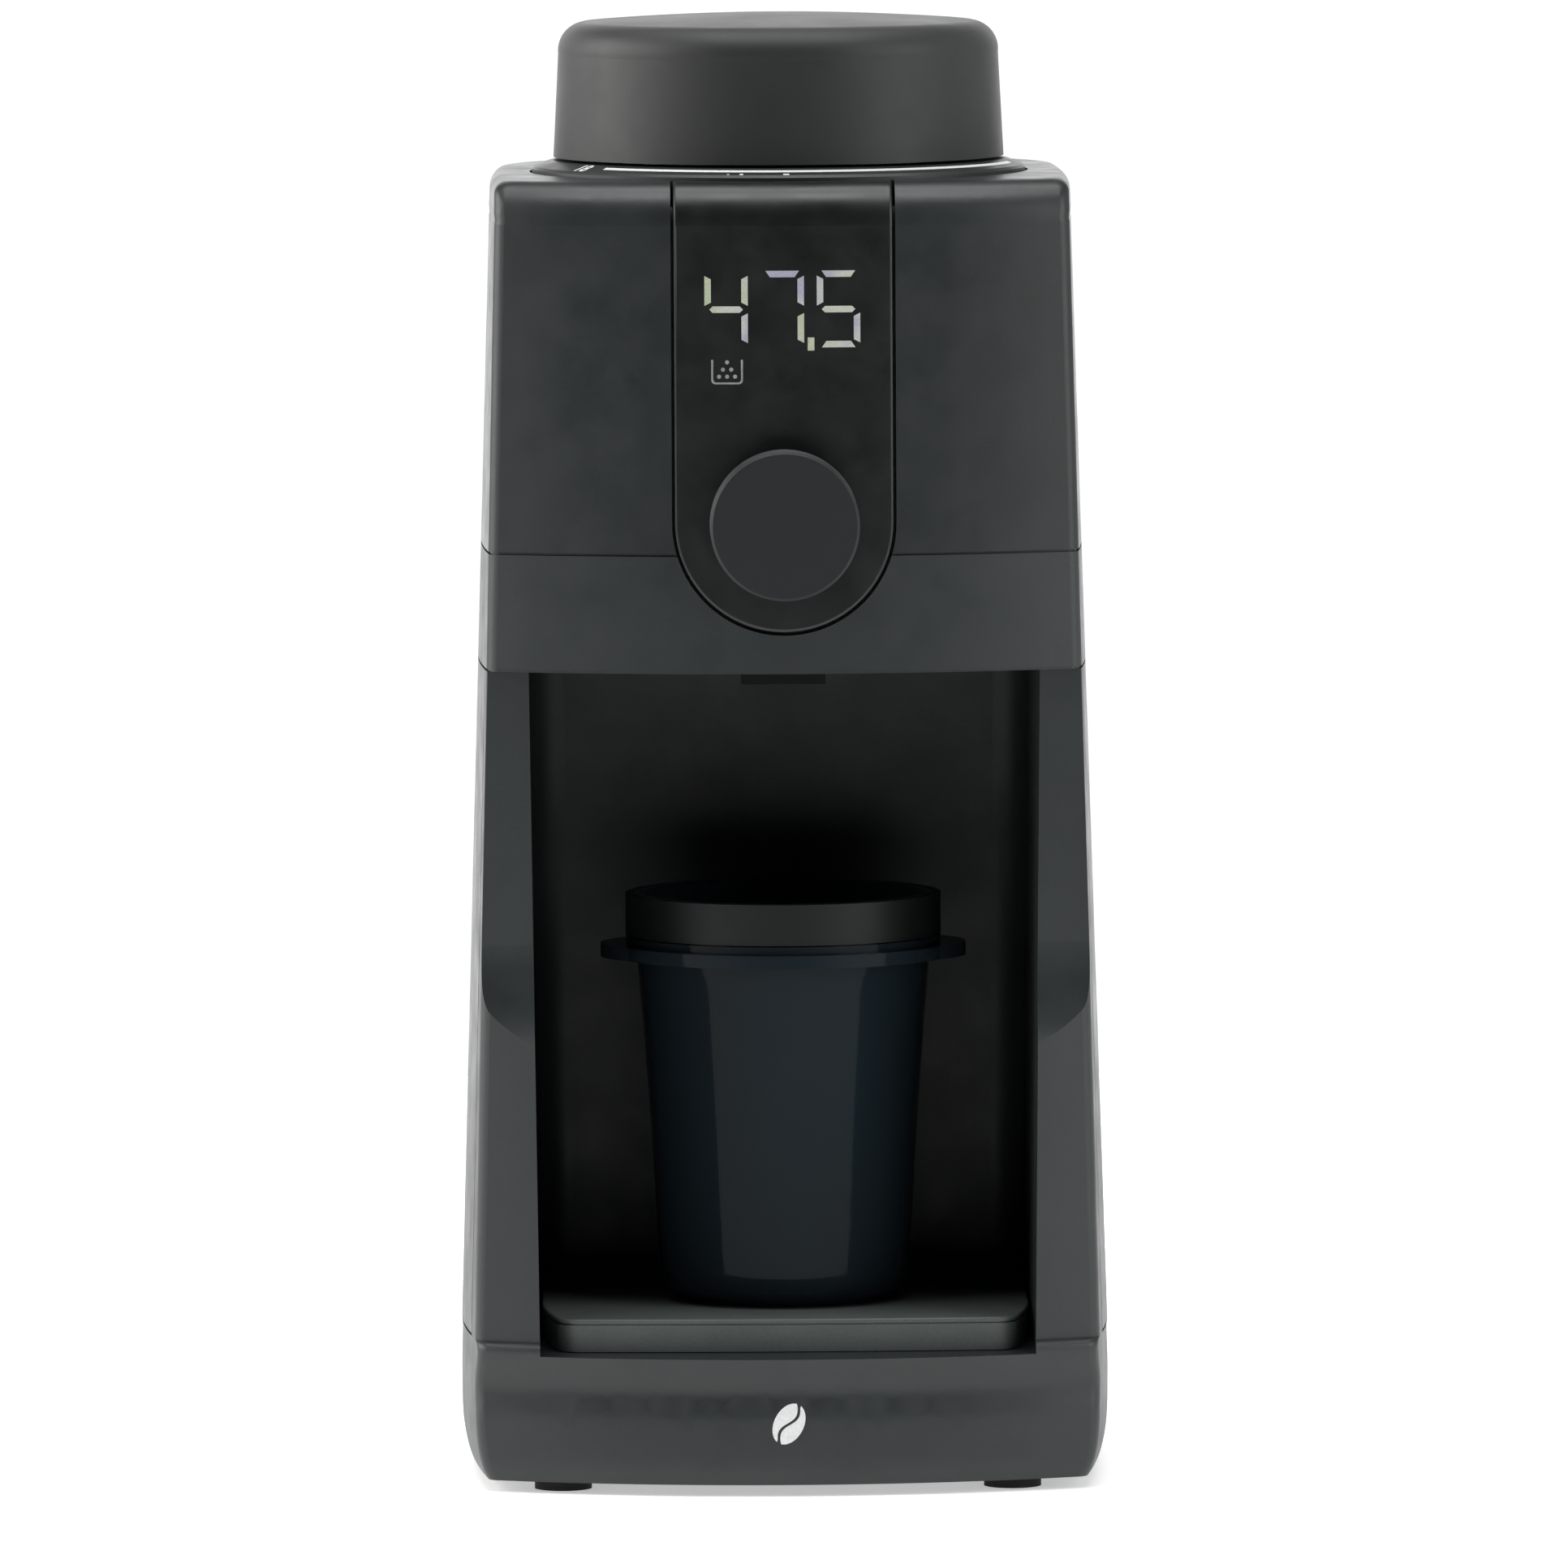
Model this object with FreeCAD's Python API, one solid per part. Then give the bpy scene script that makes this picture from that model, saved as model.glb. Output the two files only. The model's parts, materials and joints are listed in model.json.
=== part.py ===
# Single-dose burr coffee grinder.
# A tapered plastic tower stands on a weighted base. A dosing cup on a sliding
# tray fills the open bay, a timer display and a push-and-turn dial sit in the
# tongue-shaped front panel, and a ring under the lid sets the grind.
# Millimetres, +Z up, the front faces -Y. Every part is drawn about the upright
# burr axis and moved by AXIS_Y when it is saved, which centres the whole on Y.
import FreeCAD
import Part
import math
import os

V = FreeCAD.Vector

# ---- gear train: the main gear, a two-step idler and the motor pinion in line --
MODULE = 1.0
PRESSURE = math.radians(20)
BACKLASH = 0.12
MAIN_TEETH = 44
IDLER_SMALL = 20
IDLER_LARGE = 50
PINION_TEETH = 14
IDLER_Y = MODULE * (MAIN_TEETH + IDLER_SMALL) / 2
MOTOR_Y = IDLER_Y + MODULE * (IDLER_LARGE + PINION_TEETH) / 2
SHAFT_R = 3.96
BORE_GAP = 0.04          # radial clearance on turning shafts
PIN_R = 2.5
GEARBOX_WALL = 2.0
LOWER_RACE_R = 8.0
UPPER_RACE_R = 11.0
SEAL_R = 9.0

# ---- motor --------------------------------------------------------------------
MOTOR_R = 21.0
MOTOR_WALL = 1.5
MOTOR_LENGTH = 69.5
MOTOR_SHAFT_R = 1.97
ARMATURE_R = 16.0

# ---- burrs, chamber and grind ring, in radii ----------------------------------
CONE_LOW_R = 20.0
CONE_HIGH_R = 12.5
CONE_HEIGHT = 21.5
RING_BURR_R = 27.0
RING_GAP = 0.4           # holder to sleeve
SLEEVE_IN = RING_BURR_R + 7.0
SLEEVE_R = SLEEVE_IN + 3.0
COLLAR_IN = SLEEVE_R + 1.0
COLLAR_R = COLLAR_IN + 2.5
CHAMBER_IN = RING_BURR_R + 3.2
CHAMBER_R = CHAMBER_IN + 2.8
GRIND_RING_R = 56.4
GRIND_HOLE_R = GRIND_RING_R + 0.6
GRIND_STEPS = 40
SWITCH_GAP = 3.4         # hopper switch to the housing's side wall
LID_R = GRIND_RING_R - 4.9
LID_WALL = 2.1
HOPPER_R = LID_R - 4.9
HOPPER_WALL = 1.8
SKIRT_R = SLEEVE_IN - 0.5
SKIRT_WALL = 2.0
THROAT_R = 18.0
THROAT_WALL = 2.0

# ---- chute from the chamber down into the bay ---------------------------------
CHUTE_HALF = 9.5
CHUTE_WALL = 1.5
CHUTE_BACK = -CHAMBER_R - 0.3
CHUTE_FRONT = CHUTE_BACK - 11.7

# ---- body in plan, measured from the burr axis --------------------------------
WALL = 2.6
SKIN = 0.8               # depth of the shadow grooves at the seams
GROOVE = 0.6             # width of those grooves
FRONT_ROUND = 8.2        # how far the front top edge rounds back
SIDE_ROUND = 3.0
BACK_ROUND = 8.0
BASE_ROUND = 4.0
FRONT_TOP = -(GRIND_HOLE_R + FRONT_ROUND + 1.2)
FRONT_FOOT = FRONT_TOP - 7.6
SIDE_TOP = GRIND_HOLE_R + 9.0
SIDE_SEAM = SIDE_TOP + 8.0
BACK_SEAM = MOTOR_Y + MOTOR_R + 13.5
BACK_TOP = BACK_SEAM - 16.5
BOW_SEAM = 3.8           # sideways bow of the flanks at the base seam
BOW_TOP = 1.8            # and at the top of the head
FLANK_REACH = 57.0       # half the length the bow is measured over
FLANK_WIDEST = -5.0      # where the flanks are widest
FRONT_RADIUS = 180.0
BACK_RADIUS = 110.0
CORNER_FRONT = 3.5
CORNER_BACK = 42.0
FAR = 150.0              # beyond every outside face: reach of the cutting boxes

# ---- cup bay in plan ----------------------------------------------------------
BAY_HALF_LOW = SIDE_SEAM - 17.9
BAY_HALF_HIGH = BAY_HALF_LOW + 1.7
BAY_BACK = MOTOR_Y - MOTOR_R - 3.0
BAY_CORNER = 8.0
LINER = 1.6
LEG_BACK = FRONT_FOOT + 24.0
LEG_PLATE = 2.0
LEG_WALL = 2.8
RECESS = FRONT_FOOT + 18.8
RECESS_RADIUS = 40.0

# ---- heights, from the table up -----------------------------------------------
FOOT_TOP = 2.9
TUB_BOTTOM = FOOT_TOP - 0.3
PLATE_TOP = FOOT_TOP + 2.5
BASE_HEIGHT = 31.4
DECK = 3.0
BAY_HEIGHT = 154.6
CEILING = 2.5
BAND = 27.1
DECK_TOP = BASE_HEIGHT
DECK_BOTTOM = DECK_TOP - DECK
BASE_ROUND_START = TUB_BOTTOM + 14.4
SEAM = DECK_TOP + 3.0
LEG_TOP = DECK_TOP + BAY_HEIGHT
RECESS_LOW = LEG_TOP - 62.0
CEILING_TOP = LEG_TOP + CEILING
MOTOR_LOW = CEILING_TOP - MOTOR_LENGTH
HEAD_SEAM = LEG_TOP + BAND
GEARBOX_FLOOR = CEILING_TOP + 2.7
LOW_GEARS = GEARBOX_FLOOR + 2.8
LOW_FACE = 9.0
HIGH_GEARS = LOW_GEARS + LOW_FACE + 1.5
HIGH_FACE = 7.5
GEARBOX_TOP = HIGH_GEARS + HIGH_FACE + 2.0
COVER_TOP = GEARBOX_TOP + 3.2
CHAMBER_LOW = COVER_TOP + 2.0
CHAMBER_FLOOR = CHAMBER_LOW + 3.8
BURR_LOW = CHAMBER_FLOOR + 12.5
BURR_HIGH = BURR_LOW + CONE_HEIGHT
RING_LOW = BURR_LOW + 4.1
RING_HIGH = BURR_HIGH - 2.2
COLLAR_STEP = BURR_LOW + 5.5
COLLAR_TOP = BURR_HIGH + 32.0
GRIND_RING_LOW = COLLAR_TOP + 6.2
TOP = GRIND_RING_LOW + 1.4
GRIND_RING_TOP = GRIND_RING_LOW + 4.1
ROUND_START = TOP - 9.6
HOPPER_LOW = GRIND_RING_TOP + 0.3
HOPPER_TOP = HOPPER_LOW + 23.4
THROAT_LOW = BURR_HIGH + 9.0
LID_LOW = GRIND_RING_TOP + 0.7
LID_HEIGHT = 32.6

# ---- front panel, display and dial --------------------------------------------
PANEL_HALF = 24.8
PANEL_GAP = 0.5
PANEL_ROUND = 0.9        # rounding of the panel's outer rim
LEDGE = 1.6
LEDGE_IN = 1.8           # overlap of the ledge behind the panel
LEDGE_OUT = 3.2          # and beyond it
DIAL_Z = HEAD_SEAM + 6.9
DIAL_R = 16.85
DIAL_DEPTH = 9.2
DIAL_WELL_R = 5.5
DIAL_WELL = 2.4
PANEL_HOLE_R = 4.8
BUSHING_R = 4.5
PLUNGER_R = 3.0
SPINDLE_R = 2.0
RUNNING = 0.08           # radial clearance of the dial's sliding and turning fits
BOARD_THICK = 1.6
BOARD_HALF = 22.0
DISPLAY_HALF = 21.0
DISPLAY_LOW = DIAL_Z + 29.0
DISPLAY_HEIGHT = 30.0
FACE_AT_DIAL = FRONT_FOOT + (FRONT_TOP - FRONT_FOOT) * DIAL_Z / TOP
DIAL_BACK = FACE_AT_DIAL - 1.55
DIAL_FRONT = DIAL_BACK - DIAL_DEPTH
BUSHING_END = FACE_AT_DIAL - 0.65
BOARD_FRONT = FACE_AT_DIAL + 11.35

# ---- tray and dosing cup ------------------------------------------------------
TRAY_GAP = 0.6
TRAY_LOW = DECK_TOP + 0.2
TRAY_TOP = TRAY_LOW + 7.4
TRAY_HALF = BAY_HALF_LOW - TRAY_GAP
TRAY_FRONT_HALF = TRAY_HALF - 3.2
TRAY_FRONT = FRONT_FOOT + 14.5
TRAY_BACK = BAY_BACK - 0.5
TRAY_WALL = 2.2
TRAY_ROUND = 0.5
TRAY_LINE = 1.35         # top of the tray down to the foot of its shadow line
TRAY_LINE_WIDE = 0.4
CUP_Y = -15.0
CUP_FOOT_R = 21.5
CUP_WALL = 2.3
CUP_FLANGE_R = 38.5
CUP_EAR = 41.8
CUP_EAR_HALF = 21.0
CUP_NECK_R = 34.3
CUP_FLANGE_LOW = TRAY_TOP + 78.8
CUP_FLANGE_TOP = CUP_FLANGE_LOW + 3.0
CUP_TOP = CUP_FLANGE_TOP + 11.4
ADAPTER_GAP = 0.3
ADAPTER_R = CUP_NECK_R + ADAPTER_GAP + 1.45

# ---- screws, feet, boards and cord inlet --------------------------------------
BOSS_X = 45.0
BOSS_FRONT = FRONT_FOOT + 29.0
BOSS_REAR = BACK_SEAM - 38.5
FOOT_X = 51.0
FOOT_R = 6.5
BOARD_PEGS_X = (-44.0, 44.0)
CONTROL_Y = BAY_BACK + 8.0
CONTROL_LOW = DECK_TOP + 8.6
CONTROL_HEIGHT = 70.0
INLET_Z = SEAM + 15.6
INLET_BORE = 3.6
INLET_TUBE = 6.0
INLET_REACH = BACK_SEAM + 3.0
INLET_LENGTH = 13.5

AXIS_Y = -(INLET_REACH + DIAL_FRONT) / 2

BOSSES = [(side * BOSS_X, y) for side in (-1, 1) for y in (BOSS_FRONT, BOSS_REAR)]
FEET = [(side * FOOT_X, y) for side in (-1, 1) for y in (BOSS_FRONT - 8.0, BOSS_REAR - 8.0)]


# ---- shorthand ----------------------------------------------------------------
def box(x0, x1, y0, y1, z0, z1):
    return Part.makeBox(x1 - x0, y1 - y0, z1 - z0, V(x0, y0, z0))


def post(r, z0, z1, x=0.0, y=0.0):
    return Part.makeCylinder(r, z1 - z0, V(x, y, z0), V(0, 0, 1))


def tube(r_out, r_in, z0, z1, x=0.0, y=0.0):
    return post(r_out, z0, z1, x, y).cut(post(r_in, z0 - 1, z1 + 1, x, y))


def rod_y(r, y0, y1, x, z):
    return Part.makeCylinder(r, y1 - y0, V(x, y0, z), V(0, 1, 0))


def tube_y(r_out, r_in, y0, y1, x, z):
    return rod_y(r_out, y0, y1, x, z).cut(rod_y(r_in, y0 - 1, y1 + 1, x, z))


def prism(points, z0, z1):
    corners = [V(x, y, z0) for x, y in points]
    return Part.Face(Part.makePolygon(corners + corners[:1])).extrude(V(0, 0, z1 - z0))


def turned(points):
    """Solid of revolution about the burr axis from (radius, z) corners."""
    corners = [V(r, 0, z) for r, z in points]
    face = Part.Face(Part.makePolygon(corners + corners[:1]))
    return face.revolve(V(0, 0, 0), V(0, 0, 1), 360)


def radial_slot(points, width, angle):
    """Slot of (radius, z) outline and given width, turned about the burr axis."""
    corners = [V(r, -width / 2, z) for r, z in points]
    slot = Part.Face(Part.makePolygon(corners + corners[:1])).extrude(V(0, width, 0))
    slot.rotate(V(0, 0, 0), V(0, 0, 1), angle)
    return slot


def joined(shapes):
    whole = shapes[0].multiFuse(shapes[1:]) if len(shapes) > 1 else shapes[0]
    return whole.removeSplitter()


def cut_all(shape, tools):
    for tool in tools:
        shape = shape.cut(tool)
    return shape


def moved(shape, x=0.0, y=0.0, z=0.0):
    copy = shape.copy()
    copy.translate(V(x, y, z))
    return copy


def save(name, shape):
    placed = moved(shape, y=AXIS_Y)
    solids = placed.Solids
    placed = solids[0] if len(solids) == 1 else Part.makeCompound(solids)
    placed.exportStep("parts/" + name + ".step")
    print(name, len(solids), "solid", "valid" if placed.isValid() else "BROKEN")


# ---- body outline -------------------------------------------------------------
def blend(a, b, t):
    return a + (b - a) * t


def edge_step(z, start, height, depth):
    """Inward step of an elliptical edge that begins at start."""
    s = min(max((z - start) / height, 0.0), 1.0)
    return depth * (1.0 - math.sqrt(1.0 - s * s))


def outline_sizes(z, lift):
    """Front, half width, back and flank bow of the body at height z."""
    rise = (z - SEAM) / (TOP - SEAM)
    top = z + lift
    low = edge_step(z, BASE_ROUND_START, TUB_BOTTOM - BASE_ROUND_START - 0.6, BASE_ROUND)
    toe = edge_step(z, TUB_BOTTOM + 5.4, -6.4, 3.0)
    front = blend(FRONT_FOOT, FRONT_TOP, z / TOP) + toe
    front += edge_step(top, ROUND_START, TOP - ROUND_START, FRONT_ROUND)
    side = blend(SIDE_SEAM, SIDE_TOP, max(rise, 0.0)) - low
    side -= edge_step(top, TOP - SIDE_ROUND, SIDE_ROUND, SIDE_ROUND)
    back = blend(BACK_SEAM, BACK_TOP, max(rise, 0.0)) - low
    back -= edge_step(top, TOP - BACK_ROUND, BACK_ROUND, BACK_ROUND)
    return front, side, back, blend(BOW_SEAM, BOW_TOP, max(rise, 0.0))


def corner_centre(c0, r0, c1, r1, rear):
    """Crossing of two circles with x > 0, on the rear or the front side."""
    dx = c1[0] - c0[0]
    dy = c1[1] - c0[1]
    d = math.hypot(dx, dy)
    a = (r0 * r0 - r1 * r1 + d * d) / (2 * d)
    h = math.sqrt(r0 * r0 - a * a)
    ends = []
    for sign in (-1, 1):
        ends.append((c0[0] + (a * dx - sign * h * dy) / d, c0[1] + (a * dy + sign * h * dx) / d))
    ends.sort(key=lambda p: p[1])
    return ends[1] if rear else ends[0]


def on_circle(centre, radius, through):
    """Point of a circle on the ray from its centre through another point."""
    dx = through[0] - centre[0]
    dy = through[1] - centre[1]
    k = radius / math.hypot(dx, dy)
    return (centre[0] + dx * k, centre[1] + dy * k)


def arc(centre, radius, p, q, z):
    mid = on_circle(centre, radius, ((p[0] + q[0]) / 2, (p[1] + q[1]) / 2))
    return Part.Arc(V(p[0], p[1], z), V(mid[0], mid[1], z), V(q[0], q[1], z)).toShape()


def flip(p):
    return (-p[0], p[1])


def outline(z, inset=0.0, lift=0.0):
    """Body outline at height z, set in from the skin, as eight smooth arcs."""
    front, side, back, bow = outline_sizes(z, lift)
    flank_r = FLANK_REACH ** 2 / (2 * bow)
    front_c = (0.0, front + FRONT_RADIUS)
    back_c = (0.0, back - BACK_RADIUS)
    flank_c = (side - flank_r, FLANK_WIDEST)
    fr = FRONT_RADIUS - inset
    br = BACK_RADIUS - inset
    sr = flank_r - inset
    r1 = max(CORNER_FRONT - inset, 0.5)
    r2 = max(CORNER_BACK - inset, 0.5)
    c1 = corner_centre(front_c, fr - r1, flank_c, sr - r1, False)
    c2 = corner_centre(back_c, br - r2, flank_c, sr - r2, True)
    p = on_circle(front_c, fr, c1)
    q = on_circle(flank_c, sr, c1)
    r = on_circle(flank_c, sr, c2)
    s = on_circle(back_c, br, c2)
    return Part.Wire([
        arc(front_c, fr, flip(p), p, z),
        arc(c1, r1, p, q, z),
        arc(flank_c, sr, q, r, z),
        arc(c2, r2, r, s, z),
        arc(back_c, br, s, flip(s), z),
        arc(flip(c2), r2, flip(s), flip(r), z),
        arc(flip(flank_c), sr, flip(r), flip(q), z),
        arc(flip(c1), r1, flip(q), flip(p), z),
    ])


def base_block(inset=0.0):
    rise = SEAM - TUB_BOTTOM
    heights = [TUB_BOTTOM + rise * k for k in (0.0, 0.035, 0.1, 0.21, 0.36, 0.5, 0.75, 1.0)]
    return Part.makeLoft([outline(z, inset) for z in heights], True, False)


def tower_block(inset=0.0, low=SEAM, high=ROUND_START):
    return Part.makeLoft([outline(low, inset), outline(high, inset)], True, True)


def head_block(inset=0.0, drop=0.0):
    """Top of the tower with its rounded edges; drop lowers the crown for a cavity."""
    start = ROUND_START - drop
    height = TOP - ROUND_START
    steps = [math.sin(math.pi / 2 * k / 7) for k in range(8)]
    crown = [outline(start + height * k, inset, drop) for k in steps]
    crown = Part.makeLoft(crown, True, False)
    return joined([tower_block(inset, CEILING_TOP, start), crown])


def groove_ring(z):
    """Thin ring just under the skin: cutting it leaves a shadow line at height z."""
    ring = Part.Face(outline(z, -1.0)).extrude(V(0, 0, GROOVE))
    return ring.cut(Part.Face(outline(z, SKIN)).extrude(V(0, 0, GROOVE)))


# ---- base, legs and shells ----------------------------------------------------
def bay_outline(z, half, back):
    r = BAY_CORNER
    k = r * (1 - math.sqrt(0.5))
    left = [V(-half, -FAR, z), V(-half, back - r, z), V(-half + k, back - k, z), V(-half + r, back, z)]
    right = [V(half - r, back, z), V(half - k, back - k, z), V(half, back - r, z), V(half, -FAR, z)]
    return Part.Wire([
        Part.makeLine(left[0], left[1]),
        Part.Arc(left[1], left[2], left[3]).toShape(),
        Part.makeLine(left[3], right[0]),
        Part.Arc(right[0], right[1], right[2]).toShape(),
        Part.makeLine(right[2], right[3]),
        Part.makeLine(right[3], left[0]),
    ])


def bay_block(extra):
    """Space of the cup bay, widened by extra on the sides and the back."""
    low = bay_outline(DECK_TOP, BAY_HALF_LOW + extra, BAY_BACK + extra)
    high = bay_outline(LEG_TOP, BAY_HALF_HIGH + extra, BAY_BACK + extra)
    return Part.makeLoft([low, high], True, True)


def recess_block(depth):
    """Scoop that sets the upper legs back and sweeps out to the front below."""
    upper = box(-FAR, FAR, -FAR, RECESS + depth, RECESS_LOW, LEG_TOP + 5)
    centre = V(-FAR, RECESS - RECESS_RADIUS, RECESS_LOW)
    lower = Part.makeCylinder(RECESS_RADIUS + depth, 2 * FAR, centre, V(1, 0, 0))
    return joined([upper, lower])


def slab(z0, z1, y0=-FAR, y1=FAR):
    """Box as wide as any section of the body, between two heights."""
    return box(-FAR, FAR, y0, y1, z0, z1)


def main_frame():
    outer = base_block()
    inner = base_block(WALL)
    bay = bay_block(0.0)
    deck = inner.common(slab(DECK_BOTTOM, DECK_TOP))
    bosses = [post(4.0, PLATE_TOP, DECK_BOTTOM + 1, x, y) for x, y in BOSSES]
    base = joined([outer.cut(inner), deck] + bosses)
    mouth = box(-BAY_HALF_LOW, BAY_HALF_LOW, -FAR, 0, DECK_TOP, SEAM + 1)
    wiring = box(-25, 25, BAY_BACK + 10, BAY_BACK + 38, DECK_BOTTOM - 1, DECK_TOP + 1)
    pilots = [post(1.4, PLATE_TOP - 1, PLATE_TOP + 12.6, x, y) for x, y in BOSSES]
    base = cut_all(base, [mouth, wiring] + pilots)
    front = slab(DECK_TOP, LEG_TOP, -FAR, LEG_BACK)
    sleeve = bay_block(LEG_PLATE)
    low_plate = sleeve.cut(bay).common(inner).common(front)
    legs = tower_block(0.0).common(front).cut(bay).cut(recess_block(0.0))
    hollow = tower_block(WALL).common(slab(SEAM - 1, LEG_TOP + 1, -FAR, LEG_BACK + 1))
    hollow = hollow.cut(sleeve).cut(recess_block(LEG_WALL))
    return joined([base, low_plate, legs.cut(hollow)])


def rear_shell():
    shell = tower_block(0.0).cut(tower_block(WALL, SEAM - 1e-3, ROUND_START))
    shell = shell.common(slab(SEAM, LEG_TOP, LEG_BACK, FAR))
    skin = tower_block(-1.0).cut(tower_block(SKIN))
    side_groove = skin.common(slab(SEAM, LEG_TOP, LEG_BACK, LEG_BACK + GROOVE))
    hole = rod_y(INLET_TUBE, BACK_TOP, FAR, 0, INLET_Z)
    vents = []
    for k in range(7):
        z = INLET_Z + 22.0 + 5.0 * k
        vents.append(box(-22, 22, BAY_BACK + 30, FAR, z, z + 2.0))
    return cut_all(shell, [side_groove, groove_ring(SEAM), hole] + vents)


def control_pegs():
    return [(x, z) for x in BOARD_PEGS_X for z in (CONTROL_LOW + 6, CONTROL_LOW + CONTROL_HEIGHT - 6)]


def cavity_liner():
    liner = bay_block(LINER).cut(bay_block(0.0))
    liner = liner.common(slab(DECK_TOP, LEG_TOP, LEG_BACK, FAR))
    pegs = [rod_y(2.0, BAY_BACK + LINER - 0.5, CONTROL_Y, x, z) for x, z in control_pegs()]
    return joined([liner] + pegs)


def base_plate():
    plate = Part.Face(outline(TUB_BOTTOM, WALL + 0.3)).extrude(V(0, 0, PLATE_TOP - FOOT_TOP))
    plate = moved(plate, z=FOOT_TOP - TUB_BOTTOM)
    pegs = [post(2.5, PLATE_TOP - 0.5, PLATE_TOP + 2.6, x, y) for x in BOARD_PEGS_X for y in (-34, 24)]
    cuts = []
    for x, y in BOSSES:
        cuts.append(post(1.6, FOOT_TOP - 1, PLATE_TOP + 1, x, y))
        cuts.append(post(3.2, FOOT_TOP - 1, FOOT_TOP + 1.5, x, y))
    for k in range(8):
        x = 8.0 * (k - 3.5) - 1.5
        cuts.append(box(x, x + 3.0, 34, 48, FOOT_TOP - 1, PLATE_TOP + 1))
    return cut_all(joined([plate] + pegs), cuts)


def rubber_feet():
    return Part.makeCompound([post(FOOT_R, 0.0, FOOT_TOP, x, y) for x, y in FEET])


def base_screws():
    screws = []
    for x, y in BOSSES:
        head = post(3.0, FOOT_TOP + 0.1, FOOT_TOP + 1.5, x, y)
        head = head.cut(post(1.0, FOOT_TOP, FOOT_TOP + 0.8, x, y))
        screws.append(joined([head, post(1.4, FOOT_TOP + 1.4, PLATE_TOP + 12.6, x, y)]))
    return Part.makeCompound(screws)


# ---- head ---------------------------------------------------------------------
def panel_shape(half, y1):
    """Tongue outline of the front panel: straight sides over a half round."""
    upper = box(-half, half, -FAR, y1, DIAL_Z, TOP + 5)
    return joined([upper, rod_y(half, -FAR, y1, 0, DIAL_Z)])


def panel_ledge():
    """Frame behind the panel's rim, let 0.3 mm into the shell that carries it."""
    ring = panel_shape(PANEL_HALF + LEDGE_OUT, LEG_BACK).common(slab(LEG_TOP, TOP - 5.6))
    ring = ring.cut(panel_shape(PANEL_HALF - LEDGE_IN, LEG_BACK + 1))
    frame = ring.common(head_block(WALL - 0.3, WALL - 0.3)).cut(head_block(WALL + LEDGE, WALL + LEDGE))
    return frame.cut(panel_slot(-FAR).cut(head_block(WALL, WALL)))


def panel_slot(low):
    """Opening for the panel through the wall, from a height upwards."""
    return panel_shape(PANEL_HALF + PANEL_GAP, LEG_BACK + 10).common(slab(low, TOP + 5))


def lower_head_shell():
    inner = tower_block(WALL)
    ceiling_back = BAY_BACK + LINER
    band = tower_block(0.0).common(slab(LEG_TOP, HEAD_SEAM))
    band = band.cut(inner.common(slab(CEILING_TOP, HEAD_SEAM + 1)))
    band = band.cut(inner.common(slab(LEG_TOP - 1, CEILING_TOP + 1, ceiling_back, FAR)))
    ledge = panel_ledge().common(slab(CEILING_TOP, HEAD_SEAM))
    reach = CHUTE_HALF + 0.3
    chute = box(-reach, reach, CHUTE_FRONT - 0.3, CHUTE_BACK + 0.3, LEG_TOP - 6, CEILING_TOP + 6)
    band = cut_all(band, [panel_slot(CEILING_TOP), chute])
    return cut_all(joined([band, ledge]), [groove_ring(LEG_TOP), groove_ring(HEAD_SEAM - GROOVE)])


def top_housing():
    shell = head_block().cut(head_block(WALL, WALL)).common(slab(HEAD_SEAM, TOP + 1))
    shell = shell.cut(panel_slot(HEAD_SEAM - 1))
    ledge = panel_ledge().common(slab(HEAD_SEAM, TOP))
    return joined([shell, ledge]).cut(post(GRIND_HOLE_R, HEAD_SEAM, TOP + 5))


def on_panel_rim(edge, core):
    """True for an edge of the tongue's outline that lies on the skin, outside the core."""
    mid = edge.valueAt((edge.FirstParameter + edge.LastParameter) / 2)
    reach = abs(mid.x) if mid.z > DIAL_Z else math.hypot(mid.x, mid.z - DIAL_Z)
    return abs(reach - PANEL_HALF) < 0.01 and not core.isInside(mid, 0.001, True)


def display_panel():
    panel = head_block().cut(head_block(WALL, WALL)).common(panel_shape(PANEL_HALF, LEG_BACK + 10))
    panel = panel.cut(post(GRIND_HOLE_R, HEAD_SEAM, TOP + 5))
    core = head_block(0.1, 0.1)
    panel = panel.makeFillet(PANEL_ROUND, [e for e in panel.Edges if on_panel_rim(e, core)])
    lining = head_block(WALL - 0.5, WALL)
    pegs = []
    for x, z in ((18.5, DIAL_Z + 64), (15.0, DIAL_Z - 13)):
        for side in (-x, x):
            pegs.append(rod_y(2.0, FACE_AT_DIAL, BOARD_FRONT, side, z).common(lining))
    return joined([panel] + pegs).cut(rod_y(PANEL_HOLE_R, -FAR, BOARD_FRONT, 0, DIAL_Z))


def display_board():
    return box(-BOARD_HALF, BOARD_HALF, BOARD_FRONT, BOARD_FRONT + BOARD_THICK, DIAL_Z - 20, DIAL_Z + 67)


def led_display():
    top = DISPLAY_LOW + DISPLAY_HEIGHT
    return box(-DISPLAY_HALF, DISPLAY_HALF, BOARD_FRONT - 5.0, BOARD_FRONT, DISPLAY_LOW, top)


def encoder_body():
    body = box(-6, 6, BOARD_FRONT - 6.5, BOARD_FRONT, DIAL_Z - 6, DIAL_Z + 6)
    return body.cut(rod_y(PLUNGER_R + RUNNING, BOARD_FRONT - 7, BOARD_FRONT - 1.2, 0, DIAL_Z))


def encoder_bushing():
    return tube_y(BUSHING_R, PLUNGER_R + RUNNING, BUSHING_END, BOARD_FRONT - 6.5, 0, DIAL_Z)


def encoder_plunger():
    return tube_y(PLUNGER_R, SPINDLE_R + RUNNING, BUSHING_END - 1.5, BOARD_FRONT - 3.0, 0, DIAL_Z)


def encoder_shaft():
    return rod_y(SPINDLE_R, DIAL_FRONT + 3.1, BOARD_FRONT - 3.2, 0, DIAL_Z)


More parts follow.
